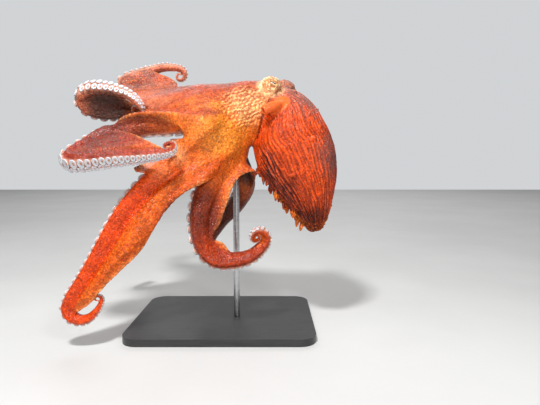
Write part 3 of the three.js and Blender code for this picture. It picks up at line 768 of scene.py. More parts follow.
def remeshed(piece, size):
    mod = piece.modifiers.new("even", "REMESH")
    mod.mode = "VOXEL"
    mod.voxel_size = size * MM
    mod.use_smooth_shade = True
    return settle(piece)


def thinned(piece, triangles):
    count = sum(len(p.vertices) - 2 for p in piece.data.polygons)
    mod = piece.modifiers.new("thin", "DECIMATE")
    mod.ratio = triangles / count
    return settle(piece)


def vertex_places(mesh):
    flat = np.empty(len(mesh.vertices) * 3)
    mesh.vertices.foreach_get("co", flat)
    return flat.reshape(-1, 3) / MM


def vertex_normals(mesh):
    flat = np.empty(len(mesh.vertices) * 3)
    mesh.vertex_normals.foreach_get("vector", flat)
    return flat.reshape(-1, 3)


def set_places(mesh, points):
    mesh.vertices.foreach_set("co", (points * MM).astype(np.float32).ravel())
    mesh.update()


def relaxed(mesh, weight, rounds):
    """Evens out the surface, each vertex moving towards its neighbours' mean by its weight."""
    ends = np.empty(len(mesh.edges) * 2, np.int32)
    mesh.edges.foreach_get("vertices", ends)
    a, b = ends.reshape(-1, 2).T
    p = vertex_places(mesh)
    count = np.maximum(np.bincount(ends, minlength=len(p)), 1)[:, None]
    for _ in range(rounds):
        near = np.stack([
            np.bincount(a, p[b, k], len(p)) + np.bincount(b, p[a, k], len(p)) for k in range(3)
        ], axis=1)
        p += weight[:, None] * (near / count - p)
    set_places(mesh, p)


def flap_bodies():
    """Ragged tongues of skin that hang from the near lower front of the mantle."""
    chance = np.random.default_rng(11)
    line, size = Spline(MANTLE["spine"]), width_curve(MANTLE["widths"])
    bodies = []
    for i in range(FLAPS["count"]):
        t = FLAPS["from"] + (FLAPS["to"] - FLAPS["from"]) * (i + chance.uniform(0.1, 0.9)) / FLAPS["count"]
        turn = math.radians(FLAPS["turn"] + chance.uniform(-1, 1) * FLAPS["spread"])
        along = line.heading([t])[0]
        side, up = axes_round(along)
        across, high = side * math.cos(turn), up * math.sin(turn)
        out = across + high
        width = math.sqrt(math.sin(math.acos(1 - 2 * t))) * size.at([t])[0, 1]
        root = line.at([t])[0] + across * width * MANTLE["flatness"] + high * width
        hang = unit(along + out * chance.uniform(*FLAPS["lift"]))
        thin = unit(np.cross(hang, np.cross(out, hang)))
        scale = chance.uniform(*FLAPS["scale"])
        lengths = np.array(FLAPS["half_size"]) * scale
        placing = np.eye(4)
        placing[:3, :3] = np.stack([hang, np.cross(thin, hang), thin], axis=1) * lengths * MM
        placing[:3, 3] = (root + hang * FLAPS["hang"] * scale) * MM
        bm = bmesh.new()
        bmesh.ops.create_uvsphere(bm, u_segments=20, v_segments=14, radius=1)
        bmesh.ops.transform(bm, matrix=Matrix(placing.tolist()), verts=bm.verts)
        bodies.append(bm)
    return bodies


def skin_bodies():
    bodies = [arm_body(arm) for arm in ARM.values()]
    bodies += [trunk_body(**HEAD), trunk_body(**MANTLE)]
    bodies += [web_body(name) for name in WEB_SHEET]
    bodies += [ball(eye["mound"], MOUND_RADIUS) for eye in EYES.values()]
    bodies.append(siphon_body(**SIPHON))
    return bodies + flap_bodies()


def tree_of(points):
    tree = KDTree(len(points))
    for i, p in enumerate(points):
        tree.insert(p, i)
    tree.balance()
    return tree


def nearest(tree, points):
    found = [tree.find(p)[1:] for p in points]
    return np.array([f[0] for f in found]), np.array([f[1] for f in found])


class Guides:
    """The arms' stations and the webs' samples, for telling where a point lies."""

    def __init__(self):
        share = np.linspace(0, 1, 260)
        reads = [arm.read(share) for arm in ARM.values()]
        self.arm_at, _, self.arm_up, self.arm_side = (np.vstack(rows) for rows in zip(*reads))
        self.arm_radius = np.concatenate([arm.radius(share) for arm in ARM.values()])
        self.arm_share = np.tile(share, len(ARM))
        self.arm_number = np.repeat(np.arange(len(ARM)), len(share))
        self.arm_tree = tree_of(self.arm_at)
        samples = []
        for number, sheet in enumerate(WEB_SHEET.values()):
            a, b = sheet.samples()
            samples.append((sheet.at(a, b), sheet.normal(a, b), a, b, np.full(len(a), number)))
        columns = [np.concatenate(column) for column in zip(*samples)]
        web_at, self.web_normal, self.web_a, self.web_b, self.web_number = columns
        self.web_tree = tree_of(web_at)


class Places:
    """Where each point of the skin lies on the animal."""

    def __init__(self, guides, points, normals):
        self.points = points
        self.facing_up = normals[:, 2]
        self.read_arms(guides)
        self.read_webs(guides, normals)
        self.read_trunk()
        self.read_mouth()
        self.by_eye = {
            side: 1 - ramp(np.linalg.norm(points - eye["mound"], axis=1), 26, 44)
            for side, eye in EYES.items()
        }
        dusky = np.max([self.close_to(place, reach) for place, reach in DUSKY], axis=0)
        self.dusky = dusky * (1 - self.by_eye["left"]) * (1 - 0.5 * self.on_siphon)

    def read_arms(self, guides):
        i, _ = nearest(guides.arm_tree, self.points)
        from_arm = self.points - guides.arm_at[i]
        radius = guides.arm_radius[i]
        self.arm, self.share = guides.arm_number[i], guides.arm_share[i]
        self.high = np.sum(from_arm * guides.arm_up[i], axis=1) / radius
        out = np.hypot(np.sum(from_arm * guides.arm_side[i], axis=1) / radius, self.high)
        self.on_arm = (1 - ramp(out, 1.2, 1.55)) * ramp(self.share, 0.08, 0.2)

    def read_webs(self, guides, normals):
        i, gap = nearest(guides.web_tree, self.points)
        self.web, self.web_a, self.web_b = guides.web_number[i], guides.web_a[i], guides.web_b[i]
        self.web_oral = ramp(np.sum(normals * guides.web_normal[i], axis=1), 0.1, 0.5)
        self.on_web = 1 - ramp(gap, 4, 8)

    def read_trunk(self):
        self.bag_t, self.bag_turn, in_bag = self.round_spine(MANTLE)
        _, _, in_head = self.round_spine(HEAD)
        siphon = Spline(SIPHON["spine"]).at(np.linspace(0, 1, 12))
        from_siphon = np.min([np.linalg.norm(self.points - p, axis=1) for p in siphon], axis=0)
        self.on_siphon = 1 - ramp(from_siphon, 16, 21)
        self.off_bag = ramp(in_bag, 1.02, 1.07)
        by_bag = 1 - ramp(in_bag, 1.12, 1.25)
        below_back = 1 - ramp(self.points[:, 2], 575, 600)
        self.on_bag = ramp(in_head - in_bag, 0.0, 0.14) * by_bag * (1 - self.on_siphon)
        self.collar = hump(in_head - in_bag, 0.02, 0.045) * by_bag * below_back

    def read_mouth(self):
        from_mouth = self.points - CROWN_CENTRE
        ahead = from_mouth @ FORWARD
        self.mouth_reach = np.linalg.norm(from_mouth - ahead[:, None] * FORWARD, axis=1)
        self.mouth_turn = np.arctan2(from_mouth @ LEFT, from_mouth @ DORSAL)
        self.on_mouth = ramp(ahead, 0, 12) * (1 - ramp(self.mouth_reach, 40, 64)) * (1 - ramp(ahead, 70, 90))

    def round_spine(self, body):
        """The place along a spine, the turn round it, and the distance from it in widths."""
        line, size = Spline(body["spine"]), width_curve(body["widths"])
        t = np.linspace(0, 1, 160)
        at = line.at(t)
        side, up = axes_round(line.heading(t))
        width = np.sqrt(np.sin(np.arccos(1 - 2 * t))) * size.at(t)[:, 1]
        i, gap = nearest(tree_of(at), self.points)
        away = self.points - at[i]
        turn = np.arctan2(np.sum(away * up[i], axis=1), np.sum(away * side[i], axis=1))
        return t[i], turn, gap / np.maximum(width[i], 12)

    def close_to(self, at, reach):
        """1 near a place and 0 beyond its reach."""
        return 1 - ramp(np.linalg.norm(self.points - np.array(at, float), axis=1), reach * 0.35, reach)


def bag_grain(at):
    """A place that runs round the mantle in millimetres, with its length pressed to a quarter."""
    wander = cloud(at.points, 46, 31) * 26
    lengthwise = at.bag_t * 82
    ring = [np.cos(at.bag_turn) * 88 + wander, np.sin(at.bag_turn) * 88 - wander, lengthwise + wander * 0.2]
    return np.stack(ring, axis=1)


def bag_ridges(at):
    """Lengthwise ridges round the mantle, from 0 in a furrow to 1 on a crest, wandering and broken."""
    grain = bag_grain(at)
    wander = cloud(at.points, 80, 3) * 0.9 + cloud(grain, 12, 5) * 1.2
    stripes = 0.5 + 0.5 * np.cos(at.bag_turn * BAG_RIDGES + wander * 2 * math.pi)
    broken = cloud(grain, 5.5, 9)
    return np.clip(stripes * (0.45 + 0.7 * broken) + 0.5 * (broken - 0.5), 0, 1)


def ragged_share(at):
    """Where the mantle's near lower front is deeply furrowed and hangs in flaps."""
    return at.on_bag * np.max([share * at.close_to(place, reach) for place, reach, share in RAGGED], axis=0)


def web_folds(at):
    """Folds that fan out from the crown over the webs."""
    fan = np.stack([at.web_a * 90 + at.web * 37.0, at.web_b * 26, at.web_b * 0], axis=1)
    return cloud(fan, 11, 17)


# The welts between the near eye and the webs, in staggered rows of this length and width.
CHEEK = {
    "at": np.array([58.0, -88, 560]), "reach": 92, "long": 24, "wide": 10.5,
    "along": unit((0.70, 0, 0.72)), "over": unit((-0.72, 0, 0.70)),
    "finer": 64,  # how far round it the skin is divided more finely
}


def welts_of(at):
    """The welts of the cheek: staggered rows that wander and break, from 0 between them to 1 on top."""
    from_cheek = at.points - CHEEK["at"]
    along = from_cheek @ CHEEK["along"] + 20 * cloud(at.points, 19, 61)
    over = from_cheek @ CHEEK["over"] + 11 * cloud(at.points, 14, 67)
    rows = np.cos(over * 2 * math.pi / CHEEK["wide"]) * np.cos(along * 2 * math.pi / CHEEK["long"])
    return ramp(rows + 0.9 * (cloud(at.points, 4.5, 73) - 0.5), -0.15, 0.55)


def mouth_relief(at):
    """Puckered lips round the hollow that holds the beak, in millimetres."""
    pucker = 0.5 + 0.5 * np.cos(at.mouth_turn * 14 + cloud(at.points, 20, 3) * 2)
    lips = RELIEF["lips"] * hump(at.mouth_reach, 13, 5)
    folds = RELIEF["pucker"] * pucker * hump(at.mouth_reach, 22, 10)
    return at.on_mouth * (lips + folds - RELIEF["mouth"] * (1 - ramp(at.mouth_reach, 4, 9)))


def skin_relief(at):
    """How far each point stands out from the smooth body, in millimetres, and the ridges' crests."""
    bag, ragged = bag_ridges(at), ragged_share(at)
    papillae = ramp(cloud(at.points, 15, 97), 0.8, 0.95) * at.on_bag
    height = at.on_bag * (bag - 0.5) * (RELIEF["ridges"] + RELIEF["ragged"] * ragged)
    height += RELIEF["papillae"] * papillae
    head = (1 - at.on_bag) * (1 - at.on_siphon)
    pebbles = creases(at.points * (1, 1, 1.25), 8.5, 41)
    height += head * (pebbles - 0.35) * RELIEF["pebbles"] * (1 - 0.5 * at.on_arm)
    near_eye, far_eye = at.by_eye["left"], at.by_eye["right"]
    knobs = ramp(cloud(at.points, 5.4, 53), 0.42, 0.72)
    bumps = welts_of(at) * (1 - near_eye) + knobs * near_eye
    pale = np.maximum(at.close_to(CHEEK["at"], CHEEK["reach"]) * head, near_eye)
    height += pale * (bumps - 0.4) * RELIEF["welts"] + RELIEF["far_knobs"] * (knobs - 0.4) * far_eye
    streaks = ramp(cloud(at.points * (0.15, 1, 1), 6.0, 71), 0.5, 0.8) * head * (1 - pale)
    height -= RELIEF["streaks"] * streaks * at.dusky
    height -= RELIEF["collar"] * at.collar
    height += mouth_relief(at)
    folds = web_folds(at) * at.on_web * (1 - at.on_arm) * (1 - at.on_bag)
    height += folds * RELIEF["folds"] * ramp(at.web_b, 0.05, 0.3)
    crest = at.on_bag * bag + head * (0.22 + 0.75 * pebbles) + at.on_siphon * 0.7
    crest = crest * (1 - pale) + (0.1 + 0.9 * bumps) * pale
    crest = np.maximum(crest, 0.75 * np.maximum(papillae, ragged * at.off_bag))
    crest = crest * (1 - at.collar) * (1 - 0.8 * streaks * at.dusky)
    return height, np.clip(crest, 0, 1)


def mixed(colours, colour, share):
    share = np.clip(share, 0, 1)[:, None]
    return colours * (1 - share) + np.array(colour) * share


def skin_colours(at):
    """The ground colour of each point, from the animal's broad areas and its painted shade, and the share of
    bare oral skin.
    """
    tints = np.array([ARM_TINT[name] for name in ARM])
    colours = np.tile(SKIN["orange"], (len(at.share), 1))
    for name, place, reach, share in CROWN_AREAS:
        colours = mixed(colours, SKIN[name], at.close_to(place, reach) * share)
    # Painted shade: the skin is darkened where it faces up, towards the light from above.
    colours = mixed(colours, SKIN["back"], ramp(at.facing_up, 0.3, 0.75) * 0.88)
    further = (ramp(at.share, 0.12, 0.42) * at.on_arm)[:, None]
    colours = colours * (1 - further) + tints[at.arm] * further
    sheet = at.on_web * (1 - at.on_arm) * (1 - at.on_bag)
    for number, name in enumerate(WEB_SHEET):
        here = (at.web == number) * sheet
        tint, share = WEB_TINT.get(name, (SKIN["orange"], 0.5))
        colours = mixed(colours, tint, here * share * ramp(at.web_b, 0.1, 0.55))
        if name in WEBS:
            # Painted shade on the webs' inner faces.
            colours = mixed(colours, SKIN["inner"], here * at.web_oral * 0.9)
    colours = mixed(colours, SKIN["bag"], at.on_bag * 0.95)
    for name, place, reach, share in MANTLE_AREAS:
        colours = mixed(colours, SKIN[name], at.on_bag * at.close_to(place, reach) * share)
    for name, share in (
        ("flap", ragged_share(at) * at.off_bag * 0.9),
        # Painted shade in the groove at the mantle's opening.
        ("collar", at.collar * 0.85),
        ("siphon", at.on_siphon),
        ("mound", at.by_eye["left"] * 0.9),
        ("grey", at.by_eye["right"] * 0.6),
        ("lip", sheet * ramp(at.web_b, 0.955, 1.0) * 0.75),
        ("mouth", at.on_mouth),
        ("beak", at.on_mouth * (1 - ramp(at.mouth_reach, 5, 10))),
    ):
        colours = mixed(colours, SKIN[name], share)
    oral = at.on_arm * ramp(-at.high, 0.25, 0.5)
    colours = mixed(colours, SKIN["oral"], oral * 0.9)
    # Painted shade, and a few tints of the skin's own, from the table above.
    for place, reach, tint, share in PAINTED_SHADE_AND_TINTS:
        colours = mixed(colours, tint, at.close_to(place, reach) * share * (1 - 0.8 * oral))
    return np.clip(colours, 0, 1), oral


def paint(mesh, name, values, kind="FLOAT"):
    """Stores a number, a place or a colour for each vertex."""
    layer = mesh.attributes.new(name, kind, "POINT")
    if kind == "FLOAT_COLOR":
        values = np.concatenate([values, np.ones((len(values), 1))], axis=1)
    field = {"FLOAT": "value", "FLOAT_VECTOR": "vector", "FLOAT_COLOR": "color"}[kind]
    layer.data.foreach_set(field, values.astype(np.float32).ravel())


def refined(mesh, at, reach, rounds):
    """Divides the faces near a place more finely."""
    bm = bmesh.new()
    bm.from_mesh(mesh)
    middle = Vector(at) * MM
    for _ in range(rounds):
        near = [e for e in bm.edges if all((v.co - middle).length < reach * MM for v in e.verts)]
        bmesh.ops.subdivide_edges(bm, edges=near, cuts=1, use_grid_fill=True)
        bmesh.ops.triangulate(bm, faces=[f for f in bm.faces if len(f.verts) > 3])
        inner = [v for v in bm.verts if (v.co - middle).length < (reach - 3) * MM]
        bmesh.ops.smooth_vert(bm, verts=inner, factor=0.5, use_axis_x=True, use_axis_y=True, use_axis_z=True)
    bm.to_mesh(mesh)
    bm.free()


def eye_frame(eye):
    """The directions out of an eye, along its slit, and up across it."""
    look = unit(np.array(eye["at"], float) - np.array(eye["mound"], float))
    slit = unit(np.array(eye["slit"], float) - look * np.dot(eye["slit"], look))
    return look, slit, np.cross(slit, look) * np.sign(np.cross(slit, look)[2])


def lidded(points):
    """Opens a slit between two thick lids over each eye."""
    for eye in EYES.values():
        directions = eye_frame(eye)
        away = points - np.array(eye["mound"], float)
        out, along, high = (away @ d for d in directions)
        half = LID["half_open"] * np.sqrt(np.clip(1 - (along / LID["half_long"]) ** 2, 0, 1))
        from_slit = np.hypot(np.maximum(np.abs(along) - LID["half_long"], 0), np.abs(high) - half)
        inside = (np.abs(high) < half) & (out > 0)
        facing = ramp(out, 8, 16)
        lift = LID["bulge"] * hump(from_slit, LID["bulge_at"], LID["bulge_wide"]) * ~inside
        sink = -LID["depth"] * ramp(from_slit, 0, LID["wall"]) * inside
        points = points + directions[0] * ((lift + sink) * facing)[:, None]
    return points


def build_skin():
    skin = joined("skin", skin_bodies())
    mesh = remeshed(skin, VOXEL)
    p = vertex_places(mesh)
    from_crown = np.linalg.norm(p - (CROWN_CENTRE + FORWARD * 10), axis=1)
    relaxed(mesh, 0.5 * (1 - ramp(from_crown, 110, 200)), 120)
    relaxed(mesh, np.full(len(p), 0.3), 3)
    guides = Guides()
    normals = vertex_normals(mesh)
    at = Places(guides, vertex_places(mesh), normals)
    height, _ = skin_relief(at)
    set_places(mesh, at.points + normals * height[:, None])
    mesh = thinned(skin, SKIN_TRIANGLES)
    refined(mesh, CHEEK["at"], CHEEK["finer"], 1)
    for eye in EYES.values():
        refined(mesh, eye["at"], EYE_FINER, 2)
    print("skin triangles in all", len(mesh.polygons))
    set_places(mesh, lidded(vertex_places(mesh)))
    at = Places(guides, vertex_places(mesh), vertex_normals(mesh))
    _, crest = skin_relief(at)
    colours, oral = skin_colours(at)
    paint(mesh, "ground", colours, "FLOAT_COLOR")
    paint(mesh, "crest", crest)
    paint(mesh, "ridged", at.on_bag)
    paint(mesh, "ragged", ragged_share(at))
    paint(mesh, "grain_place", bag_grain(at) * MM, "FLOAT_VECTOR")
    paint(mesh, "smooth", np.maximum(oral, at.on_siphon))
    paint(mesh, "dusky", at.dusky)
    return skin


# ---- Suckers ----
SUCKER = {
    "rows_at": 0.48, "under": 0.70, "splay": 0.34,  # in the arm's radii
    "width": 0.88, "spacing": 0.84,
    "first": 0.085, "last": 0.988,  # shares of the arm's length
}
SUCKER_OUTLINE = [
    (0, -0.34), (0.34, -0.34), (0.43, -0.02), (0.5, 0.14),
    (0.42, 0.22), (0.27, 0.13), (0.13, 0.02), (0, -0.02),
]
SUCKER_CUP = [0, 0, 0.25, 1, 1, 0.9, 0.5, 0.4]  # 1 on the rim
SUCKER_OVAL = {"l2": 0.42}  # how much wider than long they grow past the first third
SUCKER_TURN = {"r1": 40}  # degrees the rows lie round the arm


def sucker_shape():
    """A sucker one unit across, with a flared rim round a bowl."""
    bm = bmesh.new()
    line = [bm.verts.new((r, 0, z)) for r, z in SUCKER_OUTLINE]
    edges = [bm.edges.new(pair) for pair in zip(line, line[1:])]
    bmesh.ops.spin(
        bm, geom=line + edges, axis=(0, 0, 1), cent=(0, 0, 0), angle=2 * math.pi, steps=10, use_merge=True,
    )
    bmesh.ops.remove_doubles(bm, verts=bm.verts, dist=1e-5)
    bmesh.ops.recalc_face_normals(bm, faces=bm.faces)
    return mesh_of("sucker", bm)


def sucker_places(name):
    """The frame of each sucker of an arm: two staggered rows that shrink towards the tip."""
    arm = ARM[name]
    chance = np.random.default_rng(list(ARM).index(name))
    oval, turn = SUCKER_OVAL.get(name, 0.1), math.radians(SUCKER_TURN.get(name, 0))
    places = []
    for row in (-1, 1):
        share = SUCKER["first"] + (0.5 if row > 0 else 0) * SUCKER["spacing"] * arm.root / arm.length
        while share < SUCKER["last"]:
            radius = float(arm.radius(share))
            at, along, back, flank = (rows[0] for rows in arm.read(share))
            up = back * math.cos(turn) - flank * math.sin(turn)
            side = flank * math.cos(turn) + back * math.sin(turn)
            width = radius * SUCKER["width"] * chance.uniform(0.93, 1.07)
            out = unit(side * row * SUCKER["splay"] - up + along * chance.uniform(-0.08, 0.08))
            along = unit(along - out * np.dot(along, out))
            placing = np.eye(4)
            placing[:3, 0] = along * width
            placing[:3, 1] = np.cross(out, along) * width * (1 + oval * ramp(share, 0.3, 0.42))
            placing[:3, 2] = out * width
            placing[:3, 3] = at + side * row * radius * SUCKER["rows_at"] - up * radius * SUCKER["under"]
            placing[:3] *= MM
            places.append(Matrix(placing.tolist()))
            share += SUCKER["spacing"] * radius / arm.length
    return places


def build_suckers(name, arms):
    shape = sucker_shape()
    whole = bmesh.new()
    places = [place for arm in arms for place in sucker_places(arm)]
    for place in places:
        copy = shape.copy()
        copy.transform(place)
        whole.from_mesh(copy)
        bpy.data.meshes.remove(copy)
    mesh = mesh_of(name, whole)
    mesh.shade_smooth()
    corners = [(math.hypot(v.co.x, v.co.y), v.co.z) for v in shape.vertices]
    outline = range(len(SUCKER_OUTLINE))
    nearest_to = lambda corner: min(outline, key=lambda k: math.dist(SUCKER_OUTLINE[k], corner))
    cup = np.array([SUCKER_CUP[nearest_to(corner)] for corner in corners])
    paint(mesh, "cup", np.tile(cup, len(places)))
    bpy.data.meshes.remove(shape)
    print(name, len(places), "suckers", len(mesh.polygons), "faces")
    return shown(name, mesh)


# ---- Eyes ----
def build_eye(side):
    """An eyeball, with each vertex's place on it along and across the slit of the pupil."""
    eye = EYES[side]
    mesh = mesh_of("eyeball_" + side, ball(eye["at"], EYE_RADIUS, 64, 48))
    mesh.shade_smooth()
    look, slit, rise = eye_frame(eye)
    away = (vertex_places(mesh) - np.array(eye["at"], float)) / EYE_RADIUS
    for name, direction in (("pupil_along", slit), ("pupil_across", rise), ("pupil_out", look)):
        paint(mesh, name, away @ direction)
    return shown(mesh.name, mesh)


# ---- Materials ----
class Board:
    """Adds nodes to a tree, feeding each input a value or another node's output."""

    def __init__(self, tree):
        self.tree = tree

    def feed(self, socket, value):
        if isinstance(value, bpy.types.NodeSocket):
            self.tree.links.new(value, socket)
        elif socket.type == "RGBA" and len(value) == 3:
            socket.default_value = (*value, 1)
        else:
            socket.default_value = value

    def feed_all(self, sockets, inputs):
        for name, value in inputs.items():
            self.feed(sockets[name.replace("_", " ")], value)

    def add(self, kind, settings=None, **inputs):
        node = self.tree.nodes.new("ShaderNode" + kind)
        for name, value in (settings or {}).items():
            setattr(node, name, value)
        self.feed_all(node.inputs, inputs)
        return node

    def use(self, group, **inputs):
        """Places a node group and gives its outputs."""
        node = self.tree.nodes.new("ShaderNodeGroup")
        node.node_tree = group
        self.feed_all(node.inputs, inputs)
        return node.outputs

    def sum(self, operation, a, b=0.0):
        node = self.add("Math", {"operation": operation})
        self.feed(node.inputs[0], a)
        self.feed(node.inputs[1], b)
        return node.outputs[0]

    def plus(self, a, b):
        return self.sum("ADD", a, b)

    def times(self, a, b):
        return self.sum("MULTIPLY", a, b)

    def rest(self, share):
        """What a share leaves of 1."""
        return self.sum("SUBTRACT", 1.0, share)

    def absolute(self, value):
        return self.sum("ABSOLUTE", value)

    def step(self, value, low, high, to_low=0.0, to_high=1.0):
        node = self.add(
            "MapRange", {"interpolation_type": "SMOOTHSTEP"},
            Value=value, From_Min=low, From_Max=high, To_Min=to_low, To_Max=to_high,
        )
        return node.outputs["Result"]

    def spread(self, share, to_low, to_high):
        """Turns a share from 0 to 1 into a value from to_low to to_high."""
        return self.step(share, 0.0, 1.0, to_low, to_high)

    def blend(self, share, a, b, how="MIX"):
        node = self.add("Mix", {"data_type": "RGBA", "blend_type": how})
        self.feed(node.inputs[0], share)
        self.feed(node.inputs[6], a)
        self.feed(node.inputs[7], b)
        return node.outputs[2]

    def dyed(self, colour, dye):
        """A colour multiplied by another."""
        return self.blend(1.0, colour, dye, "MULTIPLY")

    def grey(self, value):
        return self.add("CombineColor", Red=value, Green=value, Blue=value).outputs["Color"]

    def read(self, name, output="Fac"):
        return self.add("Attribute", {"attribute_name": name}).outputs[output]

    def here(self):
        return self.add("TexCoord").outputs["Object"]

    def stretched(self, place, scale):
        return self.add("Mapping", {"vector_type": "POINT"}, Vector=place, Scale=scale).outputs["Vector"]


def node_group(name, numbers, outputs):
    """A group that reads a place and named numbers: its tree, its board, and its inner ends."""
    tree = bpy.data.node_groups.new(name, "ShaderNodeTree")
    tree.interface.new_socket("Place", in_out="INPUT", socket_type="NodeSocketVector")
    for label, value in numbers.items():
        socket = tree.interface.new_socket(label, in_out="INPUT", socket_type="NodeSocketFloat")
        socket.default_value = value
    for label in outputs:
        tree.interface.new_socket(label, in_out="OUTPUT", socket_type="NodeSocketFloat")
    given = tree.nodes.new("NodeGroupInput").outputs
    result = tree.nodes.new("NodeGroupOutput").inputs
    return tree, Board(tree), given, result


def mottling_group():
    """Broad and fine cloudiness, for uneven colour and sheen."""
    numbers = {"Broad Scale": 40, "Fine Scale": 400}
    tree, board, given, result = node_group("mottling", numbers, ["Broad", "Fine"])
    place = given["Place"]
    broad = board.add("TexNoise", Vector=place, Scale=given["Broad Scale"], Detail=3.0, Roughness=0.55)
    fine = board.add("TexNoise", Vector=place, Scale=given["Fine Scale"], Detail=4.0, Roughness=0.6)
    board.feed(result["Broad"], board.step(broad.outputs["Fac"], 0.3, 0.7))
    board.feed(result["Fine"], board.step(fine.outputs["Fac"], 0.32, 0.68))
    return tree


def wrinkle_group():
    """A net of fine wrinkles between pebbles of skin: the lines, and the height of the pebbles."""
    tree, board, given, result = node_group("wrinkle net", {"Scale": 200, "Width": 0.1}, ["Lines", "Height"])
    warp = board.add("TexNoise", Vector=given["Place"], Scale=90.0, Detail=2.0)
    moved = board.add("VectorMath", {"operation": "MULTIPLY_ADD"})
    board.feed(moved.inputs[0], warp.outputs["Color"])
    board.feed(moved.inputs[1], (0.012, 0.012, 0.012))
    board.feed(moved.inputs[2], given["Place"])
    cells = board.add(
        "TexVoronoi", {"feature": "DISTANCE_TO_EDGE"},
        Vector=moved.outputs[0], Scale=given["Scale"], Randomness=1.0,
    )
    edge = cells.outputs["Distance"]
    board.feed(result["Lines"], board.rest(board.step(edge, 0.0, given["Width"])))
    board.feed(result["Height"], board.step(edge, 0.0, 0.55))
    return tree


def ridge_group():
    """Furrows between ridges that follow a grain laid out on the piece."""
    tree, board, given, result = node_group("skin ridges", {"Scale": 250}, ["Furrows"])
    waves = board.add("TexNoise", Vector=given["Place"], Scale=given["Scale"], Detail=2.0, Roughness=0.5)
    away = board.absolute(board.sum("SUBTRACT", waves.outputs["Fac"], 0.5))
    board.feed(result["Furrows"], board.step(away, 0.07, 0.0))
    return tree


def new_material(name, **settings):
    """A material, its board and its Principled shader with constant settings."""
    material = bpy.data.materials.new(name)
    material.use_nodes = True
    board = Board(material.node_tree)
    shader = material.node_tree.nodes["Principled BSDF"]
    board.feed_all(shader.inputs, settings)
    return material, board, shader


def finish_surface(board, shader, colour, roughness):
    board.feed(shader.inputs["Base Color"], colour)
    board.feed(shader.inputs["Roughness"], roughness)


def bumped(board, shader, height, strength, distance):
    bump = board.add("Bump", Height=height, Strength=strength, Distance=distance)
    board.feed(shader.inputs["Normal"], bump.outputs["Normal"])


def skin_material(mottling, wrinkles, ridges):
    material, board, shader = new_material(
        "wet octopus skin", Coat_Weight=0.0, Subsurface_Weight=0.08,
        Subsurface_Radius=(1.0, 0.35, 0.15), Subsurface_Scale=0.006, Specular_IOR_Level=0.28,
    )
    here = board.here()
    patches = board.use(mottling, Place=here, Broad_Scale=38.0, Fine_Scale=420.0)
    grit = board.use(mottling, Place=here, Broad_Scale=130.0, Fine_Scale=250.0)
    net = board.use(wrinkles, Place=here, Scale=135.0, Width=0.2)
    cracks = board.use(wrinkles, Place=here, Scale=105.0, Width=0.34)
    grain = board.use(ridges, Place=board.read("grain_place", "Vector"), Scale=190.0)
    crest, ridged, dusky = board.read("crest"), board.read("ridged"), board.read("dusky")
    rough_skin = board.rest(board.read("smooth"))
    plain = board.times(board.rest(ridged), rough_skin)

    # Broad unevenness, then painted shade in the mantle's furrows, greyer in the dusky places, and
    # near-black painted shade in the deep ones at its ragged front.
    shade = board.grey(board.spread(patches["Broad"], 0.82, 1.14))
    colour = board.dyed(board.read("ground", "Color"), shade)
    furrow = board.sum("MAXIMUM", board.step(crest, 0.5, 0.12), board.times(grain["Furrows"], 0.6))
    furrow_shade_tint = board.blend(dusky, (0.24, 0.022, 0.006), (0.17, 0.12, 0.10))
    colour = board.blend(board.times(board.times(furrow, ridged), 0.68), colour, furrow_shade_tint)
    deep = board.times(board.read("ragged"), board.step(crest, 0.62, 0.3))
    colour = board.blend(board.times(deep, 0.92), colour, (0.03, 0.012, 0.01))

    # Painted shade in the valleys between the pebbles, and the net of lines, grey and broken in the dusky
    # places.
    valley_shade = board.times(board.step(crest, 0.45, 0.12), plain)
    colour = board.blend(board.times(valley_shade, 0.8), colour, board.dyed(colour, (0.72, 0.36, 0.22)))
    broken = board.times(dusky, board.step(grit["Broad"], 0.2, 0.6))
    cracked = board.times(cracks["Lines"], broken)
    lines = board.times(board.sum("MAXIMUM", net["Lines"], cracked), rough_skin)
    line_tint = board.blend(dusky, board.dyed(colour, (0.66, 0.42, 0.34)), (0.15, 0.085, 0.08))
    colour = board.blend(board.times(lines, board.spread(dusky, 0.55, 0.75)), colour, line_tint)

    # Painted highlights on the crests, uneven grit, and small painted glints.
    crest_highlight = board.times(board.step(crest, 0.6, 0.95), rough_skin)
    colour = board.blend(board.times(crest_highlight, 0.8), colour, board.dyed(colour, (1.25, 1.45, 1.5)))
    uneven = board.times(board.spread(grit["Fine"], 0.74, 1.22), board.spread(grit["Broad"], 0.86, 1.12))
    colour = board.blend(rough_skin, colour, board.dyed(colour, board.grey(uneven)))
    glint_specks = board.times(board.step(patches["Fine"], 0.72, 0.95), rough_skin)
    colour = board.blend(board.times(glint_specks, 0.4), colour, board.dyed(colour, (1.3, 1.6, 1.7)))
    finish_surface(board, shader, colour, board.spread(patches["Fine"], 0.16, 0.3))

    pebbled = board.times(board.times(net["Height"], 1.5), board.spread(ridged, 1.0, 0.3))
    grained = board.times(board.rest(grain["Furrows"]), ridged)
    height = board.plus(pebbled, board.times(patches["Fine"], 0.06))
    height = board.plus(height, board.times(grit["Fine"], 0.4))
    height = board.plus(height, board.times(grained, 1.2))
    bumped(board, shader, board.times(height, board.spread(rough_skin, 0.25, 1.0)), 0.6, 0.0016)
    return material


